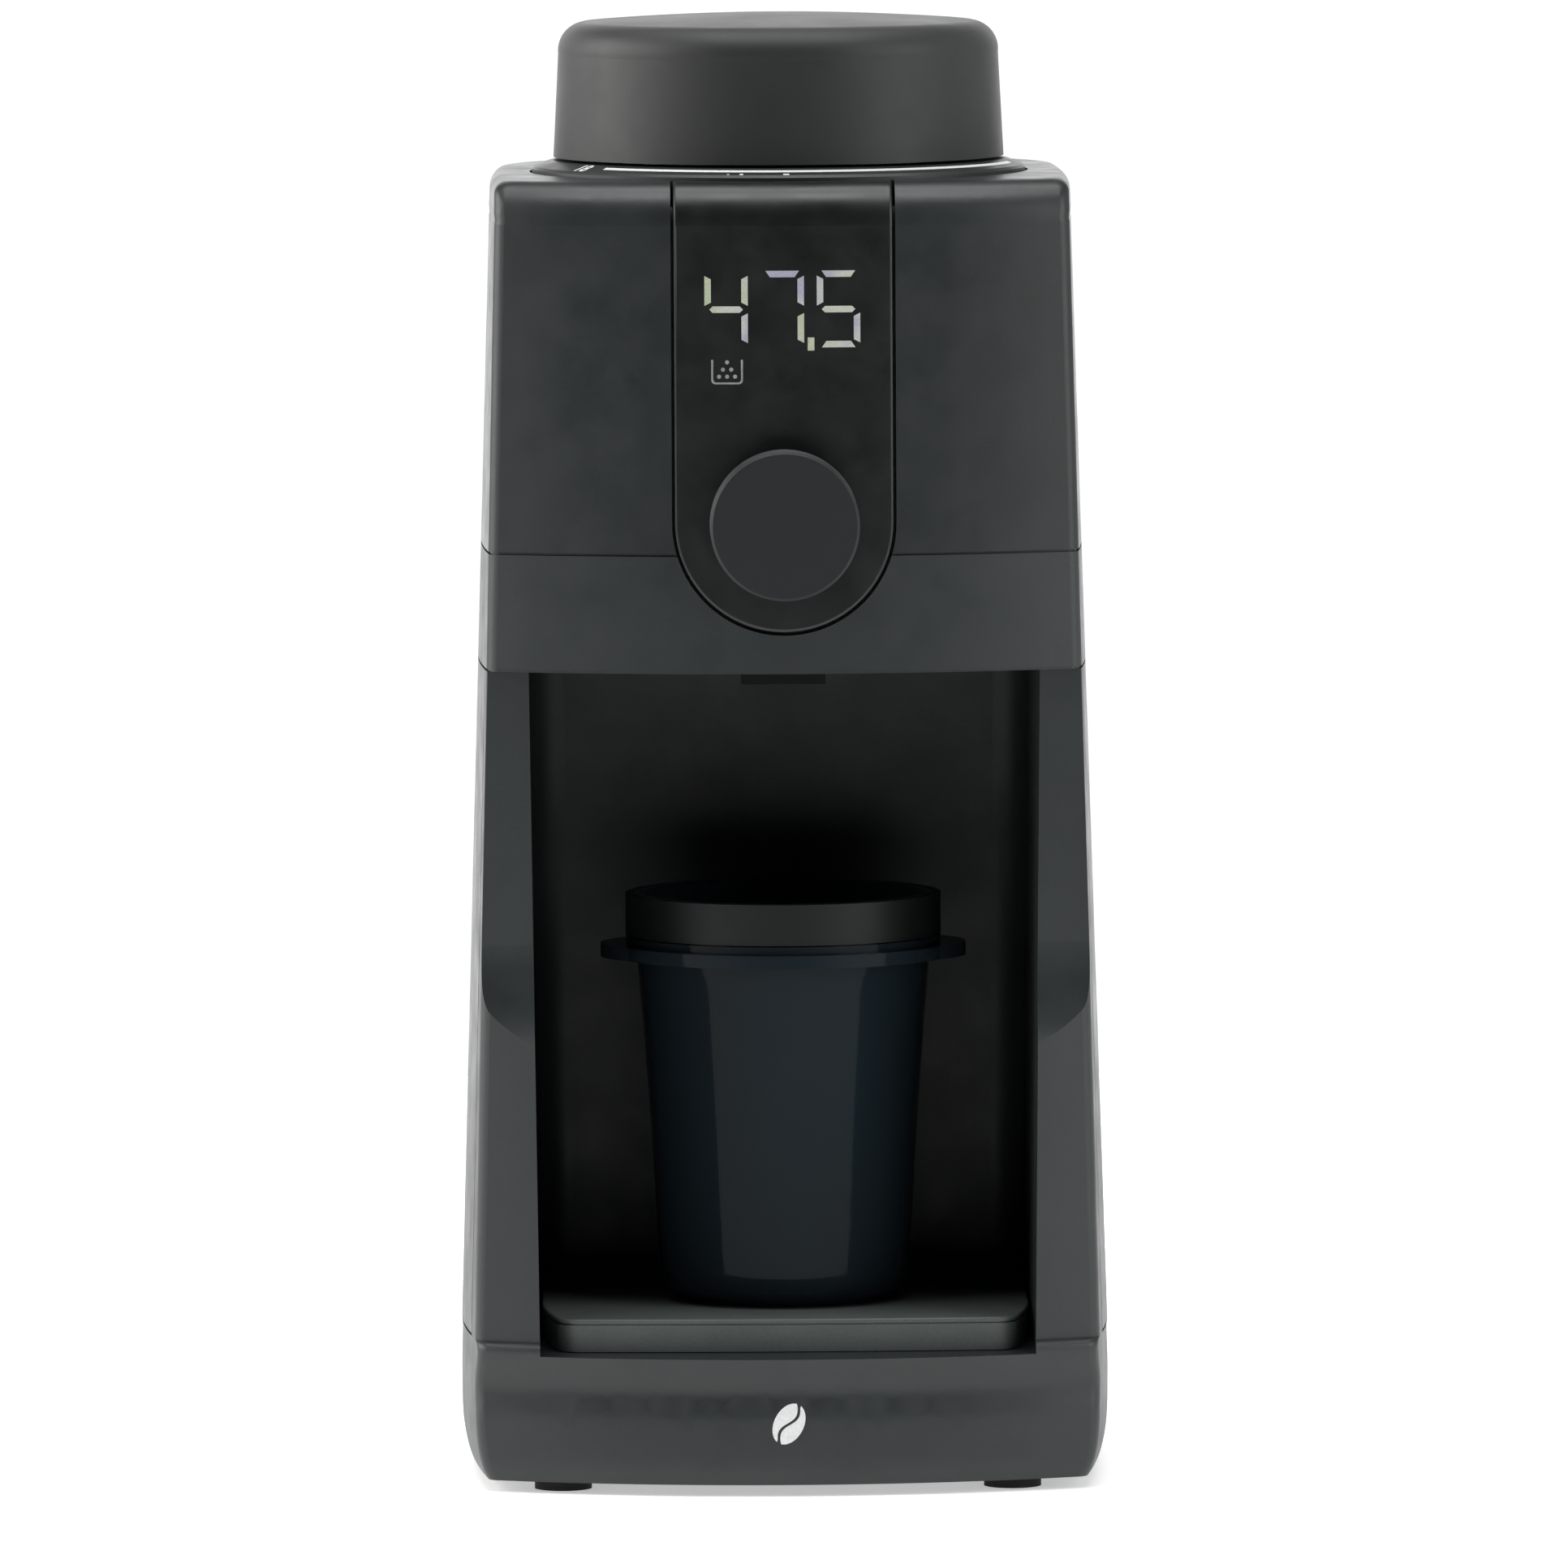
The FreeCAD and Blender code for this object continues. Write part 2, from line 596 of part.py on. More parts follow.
def dial_knob():
    knob = rod_y(DIAL_R, DIAL_FRONT, DIAL_BACK, 0, DIAL_Z)
    rims = [e for e in knob.Edges if abs(e.BoundBox.YMax - DIAL_FRONT) < 1e-3]
    knob = knob.makeChamfer(0.6, rims)
    well = rod_y(DIAL_WELL_R, DIAL_BACK - DIAL_WELL, DIAL_BACK + 1, 0, DIAL_Z)
    return knob.cut(well).cut(rod_y(SPINDLE_R, DIAL_FRONT + 3.1, DIAL_BACK, 0, DIAL_Z))


# ---- gears, gearbox and motor -------------------------------------------------
def roll(angle):
    return math.tan(angle) - angle


def gear(teeth, phase, z0, z1, y=0.0):
    """Spur gear with straight-sided flanks through the involute's points."""
    pitch = MODULE * teeth / 2
    base = pitch * math.cos(PRESSURE)
    thick = (math.pi * MODULE / 2 - BACKLASH) / (2 * pitch)
    flank = []
    for r in (pitch - 1.25 * MODULE, pitch, pitch + 0.98 * MODULE):
        at = max(r, base)
        flank.append((r, thick + roll(PRESSURE) - roll(math.acos(base / at))))
    points = []
    for k in range(teeth):
        centre = math.radians(phase) + 2 * math.pi * k / teeth
        sides = [(r, centre - a) for r, a in flank] + [(r, centre + a) for r, a in reversed(flank)]
        points += [(r * math.cos(a), y + r * math.sin(a)) for r, a in sides]
    return prism(points, z0, z1)


def main_gear():
    hub_r = IDLER_Y - MODULE * (IDLER_LARGE / 2 + 1) - 0.5
    hub = post(hub_r, LOW_GEARS + LOW_FACE, HIGH_GEARS + HIGH_FACE - 1)
    disc = joined([gear(MAIN_TEETH, 90, LOW_GEARS, LOW_GEARS + LOW_FACE), hub])
    holes = []
    for k in range(6):
        a = math.radians(60 * k)
        r = MODULE * MAIN_TEETH * 0.32
        holes.append(post(3.4, LOW_GEARS - 1, HIGH_GEARS, r * math.cos(a), r * math.sin(a)))
    return cut_all(disc, [post(SHAFT_R, LOW_GEARS - 1, GEARBOX_TOP)] + holes)


def idler_gear():
    step = LOW_GEARS + LOW_FACE + 0.5
    small = gear(IDLER_SMALL, 180.0 / IDLER_SMALL, LOW_GEARS, step + 0.1, IDLER_Y)
    large = gear(IDLER_LARGE, 90, HIGH_GEARS, HIGH_GEARS + HIGH_FACE, IDLER_Y)
    hub = post(MODULE * IDLER_SMALL * 0.4, step, HIGH_GEARS + 0.1, 0, IDLER_Y)
    return joined([small, hub, large]).cut(post(PIN_R + BORE_GAP, LOW_GEARS - 1, GEARBOX_TOP, 0, IDLER_Y))


def motor_pinion():
    phase = 270 + 180.0 / PINION_TEETH
    pinion = gear(PINION_TEETH, phase, HIGH_GEARS - 0.5, HIGH_GEARS + HIGH_FACE + 0.5, MOTOR_Y)
    return pinion.cut(post(MOTOR_SHAFT_R, HIGH_GEARS - 1, GEARBOX_TOP, 0, MOTOR_Y))


def main_shaft():
    return post(SHAFT_R, GEARBOX_FLOOR - 1.7, BURR_HIGH + 5.5)


def idler_pin():
    return post(PIN_R, GEARBOX_FLOOR - 2.0, COVER_TOP - 0.8, 0, IDLER_Y)


def belt_shape(extra, z0, z1):
    """Outline round the three gears of the train, widened by extra."""
    tips = [(0.0, MODULE * MAIN_TEETH / 2 + 2.5), (IDLER_Y, MODULE * IDLER_LARGE / 2 + 2.5)]
    tips.append((MOTOR_Y, MODULE * PINION_TEETH / 2 + 6.5))
    parts = []
    for (y0, r0), (y1, r1) in zip(tips, tips[1:]):
        lean = math.asin((r0 - r1) / (y1 - y0))
        run = []
        for y, r in ((y0, r0 + extra), (y1, r1 + extra)):
            run.append((r * math.cos(lean), y + r * math.sin(lean)))
        (xa, ya), (xb, yb) = run
        parts.append(prism([(xa, ya), (xb, yb), (-xb, yb), (-xa, ya)], z0, z1))
    parts += [post(r + extra, z0, z1, 0, y) for y, r in tips]
    return joined(parts)


def gearbox_base():
    tub = belt_shape(GEARBOX_WALL, CEILING_TOP, GEARBOX_TOP)
    tub = tub.cut(belt_shape(0.0, GEARBOX_FLOOR, GEARBOX_TOP + 1))
    seats = [post(LOWER_RACE_R + 2.5, GEARBOX_FLOOR - 1, GEARBOX_FLOOR + 2.5)]
    seats.append(post(2 * PIN_R, GEARBOX_FLOOR - 1, GEARBOX_FLOOR + 2.5, 0, IDLER_Y))
    cuts = [post(LOWER_RACE_R, GEARBOX_FLOOR - 2, GEARBOX_FLOOR + 3)]
    cuts.append(post(PIN_R, GEARBOX_FLOOR - 2, GEARBOX_FLOOR + 3, 0, IDLER_Y))
    cuts.append(post(9.0, CEILING_TOP - 1, GEARBOX_FLOOR + 1, 0, MOTOR_Y))
    return cut_all(joined([tub] + seats), cuts)


def gearbox_cover():
    plate = belt_shape(GEARBOX_WALL, GEARBOX_TOP, COVER_TOP)
    boss = post(UPPER_RACE_R + 2.5, GEARBOX_TOP - 1, CHAMBER_LOW)
    cuts = [post(UPPER_RACE_R, GEARBOX_TOP - 2, CHAMBER_LOW + 1)]
    cuts.append(post(PIN_R, GEARBOX_TOP - 1, COVER_TOP - 0.8, 0, IDLER_Y))
    return cut_all(joined([plate, boss]), cuts)


def bearing(r_out, z0, z1):
    """Ball bearing as one ring, with a groove in each face between its races."""
    bore = SHAFT_R + BORE_GAP
    groove = tube(r_out - 1.4, bore + 1.6, z0, z0 + 0.5)
    race = tube(r_out, bore, z0, z1)
    return cut_all(race, [groove, moved(groove, z=z1 - z0 - 0.5)])


def bearing_lower():
    return bearing(LOWER_RACE_R, GEARBOX_FLOOR - 2, GEARBOX_FLOOR + 2.5)


def bearing_upper():
    return bearing(UPPER_RACE_R, GEARBOX_TOP - 1, CHAMBER_LOW)


def shaft_seal():
    return tube(SEAL_R, SHAFT_R + 0.34, CHAMBER_LOW, CHAMBER_FLOOR)


def motor_can():
    shell = post(MOTOR_R, MOTOR_LOW, CEILING_TOP, 0, MOTOR_Y)
    shell = shell.cut(post(MOTOR_R - MOTOR_WALL, MOTOR_LOW - 1, CEILING_TOP - 1.5, 0, MOTOR_Y))
    shell = joined([shell, post(9.0, CEILING_TOP - 0.5, GEARBOX_FLOOR - 0.7, 0, MOTOR_Y)])
    vents = []
    for k in range(6):
        slot = box(MOTOR_R - 3, MOTOR_R + 1, -3, 3, CEILING_TOP - 10.5, CEILING_TOP - 5.5)
        slot.rotate(V(0, 0, 0), V(0, 0, 1), 60 * k)
        vents.append(moved(slot, y=MOTOR_Y))
    bore = post(MOTOR_SHAFT_R + BORE_GAP, CEILING_TOP - 8, GEARBOX_FLOOR + 4, 0, MOTOR_Y)
    return cut_all(shell, [bore] + vents)


def motor_end_cap():
    cap = [post(MOTOR_R, MOTOR_LOW - 2.5, MOTOR_LOW, 0, MOTOR_Y)]
    cap.append(post(7.0, MOTOR_LOW - 0.5, MOTOR_LOW + 2, 0, MOTOR_Y))
    for x in (-12, 12):
        cap.append(box(x - 2.4, x + 2.4, MOTOR_Y - 0.4, MOTOR_Y + 0.4, MOTOR_LOW - 9, MOTOR_LOW - 2))
    return joined(cap).cut(post(MOTOR_SHAFT_R + BORE_GAP, MOTOR_LOW - 4, MOTOR_LOW + 3, 0, MOTOR_Y))


def motor_magnets():
    ring = tube(MOTOR_R - MOTOR_WALL, ARMATURE_R + 0.8, MOTOR_LOW + 11, MOTOR_LOW + 55, 0, MOTOR_Y)
    return ring.cut(slab(MOTOR_LOW, CEILING_TOP, MOTOR_Y - 5, MOTOR_Y + 5))


def motor_armature():
    low = MOTOR_LOW + 11
    high = MOTOR_LOW + 53
    slots = []
    for k in range(5):
        mouth = box(ARMATURE_R - 3.5, ARMATURE_R + 1, -1.0, 1.0, low - 1, high + 1)
        slot = joined([mouth, post(3.0, low - 1, high + 1, ARMATURE_R - 5.5, 0)])
        slot.rotate(V(0, 0, 0), V(0, 0, 1), 72 * k)
        slots.append(moved(slot, y=MOTOR_Y))
    core = post(ARMATURE_R, low, high, 0, MOTOR_Y).cut(joined(slots))
    core = joined([core, post(5.0, MOTOR_LOW + 3.5, low + 0.5, 0, MOTOR_Y)])
    return core.cut(post(MOTOR_SHAFT_R, MOTOR_LOW, high + 1, 0, MOTOR_Y))


def motor_shaft():
    return post(MOTOR_SHAFT_R, MOTOR_LOW - 2.0, HIGH_GEARS + HIGH_FACE + 1, 0, MOTOR_Y)


# ---- burrs and grinding chamber -----------------------------------------------
def burr_chamber():
    floor = CHAMBER_FLOOR
    wall = [(SEAL_R, CHAMBER_LOW), (CHAMBER_R, CHAMBER_LOW), (CHAMBER_R, COLLAR_STEP)]
    wall += [(COLLAR_R, COLLAR_STEP + 3.5), (COLLAR_R, COLLAR_TOP), (COLLAR_IN, COLLAR_TOP)]
    wall += [(COLLAR_IN, COLLAR_STEP + 5.5), (CHAMBER_IN, COLLAR_STEP + 3.5), (CHAMBER_IN, floor)]
    wall += [(SEAL_R, floor)]
    inner = CHUTE_HALF - CHUTE_WALL
    return turned(wall).cut(box(-inner, inner, -CHAMBER_R - 3, -CHAMBER_IN + 5, floor, floor + 13))


def grounds_chute():
    top = CHAMBER_FLOOR + 15
    body = box(-CHUTE_HALF, CHUTE_HALF, CHUTE_FRONT, CHUTE_BACK, LEG_TOP - 4, top)
    saddle = box(-CHUTE_HALF, CHUTE_HALF, CHUTE_BACK - 1, -CHAMBER_R + 3, CHAMBER_LOW + 0.8, top)
    inner = CHUTE_HALF - CHUTE_WALL
    back = CHUTE_BACK - CHUTE_WALL
    channel = box(-inner, inner, CHUTE_FRONT + CHUTE_WALL, back, LEG_TOP - 6, top - 2)
    mouth = box(-inner, inner, back - 1, -CHAMBER_R + 8, CHAMBER_FLOOR, top - 2)
    return cut_all(joined([body, saddle]), [channel, mouth, post(CHAMBER_R, CHAMBER_LOW - 1, top + 1)])


def paddle_rotor():
    low = CHAMBER_FLOOR + 1.0
    reach = CHAMBER_IN - 1.6
    parts = [post(10, low, BURR_LOW), post(reach, low, low + 2.5)]
    for k in range(4):
        vane = box(9, reach, -1.5, 1.5, low + 2, BURR_LOW)
        vane.rotate(V(0, 0, 0), V(0, 0, 1), 90 * k + 45)
        parts.append(vane)
    return joined(parts).cut(post(SHAFT_R, CHAMBER_LOW, BURR_HIGH))


def cone_radius(z):
    return blend(CONE_LOW_R, CONE_HIGH_R, (z - BURR_LOW) / CONE_HEIGHT)


def cone_burr():
    cone = Part.makeCone(CONE_LOW_R, CONE_HIGH_R, CONE_HEIGHT, V(0, 0, BURR_LOW))
    cuts = [post(SHAFT_R, BURR_LOW - 1, BURR_HIGH + 1)]
    low = BURR_LOW + 5
    top = BURR_HIGH + 1
    for k in range(10):
        points = [(cone_radius(low), low), (cone_radius(low) + 3, low)]
        points += [(cone_radius(top) + 3, top), (cone_radius(top) - 3.2, top)]
        cuts.append(radial_slot(points, 2.6, 36 * k))
    for k in range(40):
        points = [(CONE_LOW_R - 0.5, BURR_LOW - 0.5), (CONE_LOW_R + 2, BURR_LOW - 0.5)]
        points += [(CONE_LOW_R + 2, low), (cone_radius(low) - 0.5, low)]
        cuts.append(radial_slot(points, 0.8, 9 * k + 4.5))
    return cut_all(cone, cuts)


def burr_nut():
    corners = [(6.6 * math.cos(math.pi / 3 * k), 6.6 * math.sin(math.pi / 3 * k)) for k in range(6)]
    return prism(corners, BURR_HIGH, BURR_HIGH + 4.5).cut(post(SHAFT_R, BURR_LOW, BURR_HIGH + 6))


def ring_burr():
    wall = [(RING_BURR_R, RING_LOW), (RING_BURR_R, RING_HIGH), (cone_radius(RING_HIGH) + 3.7, RING_HIGH)]
    wall += [(cone_radius(RING_LOW + 5.4) + 1.7, RING_LOW + 5.4), (cone_radius(RING_LOW) + 0.8, RING_LOW)]
    inside = cone_radius(RING_HIGH) + 2.5
    cuts = []
    for k in range(12):
        points = [(inside, RING_HIGH + 1), (inside + 6.5, RING_HIGH + 1)]
        points += [(inside + 1.7, RING_LOW + 3.4), (inside, RING_LOW + 3.4)]
        cuts.append(radial_slot(points, 2.4, 30 * k))
    return cut_all(turned(wall), cuts)


def ring_burr_holder():
    rim = SLEEVE_IN - RING_GAP
    shoulder = COLLAR_STEP + 6.5
    wall = [(rim, shoulder), (rim, RING_HIGH + 7), (cone_radius(BURR_HIGH) + 8, RING_HIGH + 7)]
    wall += [(cone_radius(BURR_HIGH) + 8, RING_HIGH), (RING_BURR_R, RING_HIGH)]
    wall += [(RING_BURR_R, RING_LOW + 0.4), (RING_BURR_R + 2.4, RING_LOW + 0.4)]
    wall += [(RING_BURR_R + 2.4, shoulder)]
    return turned(wall)


def adjustment_ring():
    low = COLLAR_STEP + 8
    wall = [(SLEEVE_IN, low), (SLEEVE_R, low), (SLEEVE_R, GRIND_RING_LOW), (GRIND_RING_R, GRIND_RING_LOW)]
    wall += [(GRIND_RING_R, GRIND_RING_TOP - 2.0), (GRIND_RING_R - 0.6, GRIND_RING_TOP - 1.4)]
    wall += [(GRIND_RING_R - 4.6, GRIND_RING_TOP), (SLEEVE_IN, GRIND_RING_TOP)]
    notches = []
    for k in range(GRIND_STEPS):
        points = [(COLLAR_R - 2, GRIND_RING_LOW - 0.2), (COLLAR_R + 6.5, GRIND_RING_LOW - 0.2)]
        points += [(COLLAR_R + 6.5, GRIND_RING_LOW + 0.8), (COLLAR_R - 2, GRIND_RING_LOW + 0.8)]
        notches.append(radial_slot(points, 1.6, 360.0 / GRIND_STEPS * k))
    return turned(wall).cut(Part.makeCompound(notches))


def click_spring():
    front = box(-FAR, FAR, -FAR, -8, COLLAR_TOP - 1, TOP)
    leaf = tube(COLLAR_R, COLLAR_IN + 0.5, COLLAR_TOP, COLLAR_TOP + 1).common(front)
    nib = tube(COLLAR_R, COLLAR_IN + 0.5, COLLAR_TOP + 0.5, GRIND_RING_LOW - 0.4)
    return joined([leaf, nib.common(box(-2.5, 2.5, -FAR, -8, COLLAR_TOP, TOP))])


def hopper_switch():
    low = COLLAR_TOP - 17
    reach = SIDE_TOP - WALL - SWITCH_GAP
    body = box(COLLAR_R - 2.5, reach, 5, 11.4, low, low + 11).cut(post(COLLAR_R, low - 1, TOP))
    lever = box(reach - 14.0, reach - 2.0, 7.4, 9.0, low + 10.5, low + 12.5)
    return joined([body, lever])


# ---- hopper and lid -----------------------------------------------------------
def hopper():
    bowl = HOPPER_R - HOPPER_WALL
    inside = SKIRT_R - SKIRT_WALL
    throat_out = THROAT_R + THROAT_WALL
    wall = [(HOPPER_R, HOPPER_TOP), (HOPPER_R - 0.4, HOPPER_LOW), (SKIRT_R, HOPPER_LOW)]
    wall += [(SKIRT_R, THROAT_LOW + 4), (inside, THROAT_LOW + 4), (inside, HOPPER_LOW - 3.6)]
    wall += [(throat_out, HOPPER_LOW - 18.6), (throat_out, THROAT_LOW), (THROAT_R, THROAT_LOW)]
    wall += [(THROAT_R, HOPPER_LOW - 16.6), (inside - 0.3, HOPPER_LOW + 1.2), (bowl - 0.2, HOPPER_LOW + 8.7)]
    wall += [(bowl, HOPPER_TOP)]
    return turned(wall)


def hopper_gasket():
    return tube(THROAT_R + THROAT_WALL, THROAT_R, THROAT_LOW - 2.8, THROAT_LOW)


def lid_inner():
    """Inner corners of the lid from the rim to the axis."""
    wall = [(LID_R - LID_WALL, 0.0), (LID_R - LID_WALL - 1.0, 22.5), (LID_R - 5.1, 26.8), (LID_R - 9.5, 28.9)]
    return [(r, LID_LOW + z) for r, z in wall] + [(0.0, LID_LOW + 30.4)]


def lid():
    side = [(LID_R - 1.2, LID_LOW + 23.5), (LID_R, LID_LOW)] + lid_inner()
    pts = [V(r, 0, z) for r, z in side]
    crown = V(0, 0, LID_LOW + LID_HEIGHT)
    brow = V(LID_R - 7.5, 0, crown.z - 1.8)
    edges = [Part.makeLine(a, b) for a, b in zip(pts, pts[1:])]
    edges.append(Part.makeLine(pts[-1], crown))
    edges.append(Part.Arc(crown, V(brow.x / 2, 0, crown.z - 0.5), brow).toShape())
    edges.append(Part.Arc(brow, V(LID_R - 2.6, 0, crown.z - 4.3), pts[0]).toShape())
    return Part.Face(Part.Wire(edges)).revolve(V(0, 0, 0), V(0, 0, 1), 360)


def lid_seal():
    outer, inner = lid_inner()[2:4]
    return turned([(inner[0], HOPPER_TOP + 0.3), (outer[0], HOPPER_TOP + 0.3), outer, inner])


# ---- tray and dosing cup ------------------------------------------------------
def tray_outline(inset, z):
    half = TRAY_HALF - inset
    front = TRAY_FRONT_HALF - inset
    y0 = TRAY_FRONT + inset
    y1 = TRAY_BACK - inset
    r = BAY_CORNER - 1.0
    k = r * (1 - math.sqrt(0.5))
    corner = V(front - 6, y0 + 0.4, z)
    side = V(front, y0 + 5.5, z)
    waist = V(half, y0 + 45, z)
    right = [
        Part.Arc(corner, V(front - 1.7, y0 + 1.9, z), side).toShape(),
        Part.Arc(side, V(blend(front, half, 0.82), y0 + 24, z), waist).toShape(),
        Part.makeLine(waist, V(half, y1 - r, z)),
        Part.Arc(V(half, y1 - r, z), V(half - k, y1 - k, z), V(half - r, y1, z)).toShape(),
    ]
    left = [edge.mirror(V(0, 0, 0), V(1, 0, 0)) for edge in right]
    front_edge = Part.Arc(V(6 - front, y0 + 0.4, z), V(0, y0 - 1.0, z), corner).toShape()
    back_edge = Part.makeLine(V(half - r, y1, z), V(r - half, y1, z))
    return Part.Wire(Part.__sortEdges__([front_edge, back_edge] + right + left))


def tray():
    plate = Part.Face(tray_outline(0.0, TRAY_LOW)).extrude(V(0, 0, TRAY_TOP - TRAY_LOW))
    rims = [e for e in plate.Edges if e.BoundBox.ZMin > TRAY_TOP - 0.001]
    plate = plate.makeFillet(TRAY_ROUND, rims)
    line_low = TRAY_TOP - TRAY_LINE
    line = Part.Face(tray_outline(-1.0, line_low)).extrude(V(0, 0, TRAY_LINE_WIDE))
    line = line.cut(Part.Face(tray_outline(TRAY_LINE_WIDE, line_low)).extrude(V(0, 0, TRAY_LINE_WIDE)))
    hollow = Part.Face(tray_outline(TRAY_WALL, TRAY_LOW)).extrude(V(0, 0, TRAY_TOP - TRAY_LOW - TRAY_WALL))
    reach = TRAY_FRONT_HALF - 0.5
    ribs = [box(-reach, reach, y - 0.8, y + 0.8, TRAY_LOW, TRAY_TOP) for y in (-35, -10, 15)]
    return cut_all(plate, [line, cut_all(hollow, ribs)])


def cup_side(offset, low):
    """Wall of the cup from its floor up, set in by offset: a rounded foot under a slow flare."""
    corners = [(0.0, 0.0), (5.0, 2.9), (7.0, 8.5), (7.7, 18.1), (8.6, 33.6), (9.9, 53.0), (11.8, 76.4)]
    rise = (CUP_TOP - low) / (CUP_TOP - TRAY_TOP)
    points = [V(CUP_FOOT_R + r - offset, 0, low + z * rise) for r, z in corners]
    flare = Part.BSplineCurve()
    flare.interpolate(points[2:])
    return points[0], points[-1], [Part.Arc(*points[:3]).toShape(), flare.toShape()]


def cup_shell():
    mouth = CUP_NECK_R - 2.6
    shoulder = CUP_FLANGE_TOP + 1.8
    floor = TRAY_TOP + CUP_WALL
    foot, brim, outside = cup_side(0.0, TRAY_TOP)
    inner_foot, inner_brim, inside = cup_side(CUP_WALL, floor)
    rim = [(CUP_FOOT_R + 11.9, CUP_FLANGE_LOW), (CUP_FLANGE_R, CUP_FLANGE_LOW), (CUP_FLANGE_R, CUP_FLANGE_TOP)]
    rim += [(ADAPTER_R, CUP_FLANGE_TOP), (ADAPTER_R, shoulder), (CUP_NECK_R, shoulder)]
    rim += [(CUP_NECK_R, CUP_TOP), (mouth, CUP_TOP), (mouth, CUP_FLANGE_TOP + 0.7)]
    corners = [brim] + [V(r, 0, z) for r, z in rim] + [inner_brim]
    middle = [inner_foot, V(0, 0, floor), V(0, 0, TRAY_TOP), foot]
    lines = [Part.makeLine(a, b) for chain in (corners, middle) for a, b in zip(chain, chain[1:])]
    wire = Part.Wire(Part.__sortEdges__(outside + inside + lines))
    return Part.Face(wire).revolve(V(0, 0, 0), V(0, 0, 1), 360)


def dosing_cup():
    straight = CUP_EAR - CUP_EAR_HALF
    ears = [box(-straight, straight, -CUP_EAR_HALF, CUP_EAR_HALF, CUP_FLANGE_LOW, CUP_FLANGE_TOP)]
    ears += [post(CUP_EAR_HALF, CUP_FLANGE_LOW, CUP_FLANGE_TOP, side * straight) for side in (-1, 1)]
    plate = joined(ears).cut(post(CUP_NECK_R - 1.8, CUP_FLANGE_LOW - 1, CUP_FLANGE_TOP + 1))
    return moved(joined([cup_shell(), plate]), y=CUP_Y)


def cup_adapter_ring():
    return tube(ADAPTER_R, CUP_NECK_R + ADAPTER_GAP, CUP_FLANGE_TOP + 2.1, CUP_TOP, 0, CUP_Y)


# ---- electronics and cord inlet -----------------------------------------------
def power_board():
    low = PLATE_TOP + 2.6
    parts = [box(-50, 50, -40, 30, low, low + BOARD_THICK), box(-30, -6, -30, -8, low + 1, low + 16)]
    parts.append(post(6, low + 1, low + 16, 12, -22))
    parts.append(post(5, low + 1, low + 12, 26, 8))
    return joined(parts)


def control_board():
    back = CONTROL_Y + BOARD_THICK
    high = CONTROL_LOW + CONTROL_HEIGHT
    parts = [box(-50, 50, CONTROL_Y, back, CONTROL_LOW, high)]
    parts.append(box(-20, 4, back - 0.5, back + 2.4, CONTROL_LOW + 20, CONTROL_LOW + 44))
    parts.append(box(18, 34, back - 0.5, back + 8.4, CONTROL_LOW + 22, CONTROL_LOW + 38))
    return joined(parts)


def cord_gland():
    start = INLET_REACH - INLET_LENGTH
    sleeve = tube_y(INLET_TUBE, INLET_BORE, start, INLET_REACH, 0, INLET_Z)
    collar = tube_y(INLET_TUBE + 2, INLET_TUBE - 0.5, INLET_REACH - 2.9, INLET_REACH - 1.5, 0, INLET_Z)
    return joined([sleeve, collar])


NODES = [
    main_frame, rear_shell, cavity_liner, base_plate, rubber_feet, base_screws,
    lower_head_shell, top_housing, display_panel, display_board, led_display,
    encoder_body, encoder_bushing, encoder_plunger, encoder_shaft, dial_knob,
    main_gear, idler_gear, motor_pinion, main_shaft, idler_pin, gearbox_base,
    gearbox_cover, bearing_lower, bearing_upper, shaft_seal, motor_can,
    motor_end_cap, motor_magnets, motor_armature, motor_shaft, burr_chamber,
    grounds_chute, paddle_rotor, cone_burr, burr_nut, ring_burr, ring_burr_holder,
    adjustment_ring, click_spring, hopper_switch, hopper, hopper_gasket, lid,
    lid_seal, tray, dosing_cup, cup_adapter_ring, power_board, control_board,
    cord_gland,
]

os.makedirs("parts", exist_ok=True)
for build in NODES:
    save(build.__name__, build())
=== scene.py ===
import json
import math

import bmesh
import bpy
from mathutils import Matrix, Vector
from mathutils.bvhtree import BVHTree


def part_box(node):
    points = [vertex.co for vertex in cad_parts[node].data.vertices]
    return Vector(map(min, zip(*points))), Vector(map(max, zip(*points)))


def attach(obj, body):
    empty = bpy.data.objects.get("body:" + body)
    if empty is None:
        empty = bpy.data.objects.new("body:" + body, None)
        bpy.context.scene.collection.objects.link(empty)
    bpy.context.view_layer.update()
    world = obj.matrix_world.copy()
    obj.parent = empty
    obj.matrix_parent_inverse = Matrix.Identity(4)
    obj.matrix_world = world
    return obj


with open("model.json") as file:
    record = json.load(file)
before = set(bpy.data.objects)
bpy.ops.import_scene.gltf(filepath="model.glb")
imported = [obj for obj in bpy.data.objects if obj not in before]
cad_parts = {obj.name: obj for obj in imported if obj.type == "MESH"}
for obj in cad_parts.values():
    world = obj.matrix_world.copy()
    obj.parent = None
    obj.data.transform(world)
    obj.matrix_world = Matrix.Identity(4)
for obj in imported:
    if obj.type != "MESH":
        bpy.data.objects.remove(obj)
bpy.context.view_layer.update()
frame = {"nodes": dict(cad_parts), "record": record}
scene = bpy.context.scene
MM = 0.001
RING_LOW, RING_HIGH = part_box("adjustment_ring")
AXIS_Y = (RING_LOW.y + RING_HIGH.y) / 2


# ---------------------------------------------------------------- materials

def srgb(text):
    """Linear colour of a hex tone."""
    parts = [int(text[i:i + 2], 16) / 255 for i in (1, 3, 5)]
    line = [c / 12.92 if c <= 0.04045 else ((c + 0.055) / 1.055) ** 2.4 for c in parts]
    return (*line, 1.0)


def scaled(colour, by):
    return (*[c * by for c in colour[:3]], 1.0)


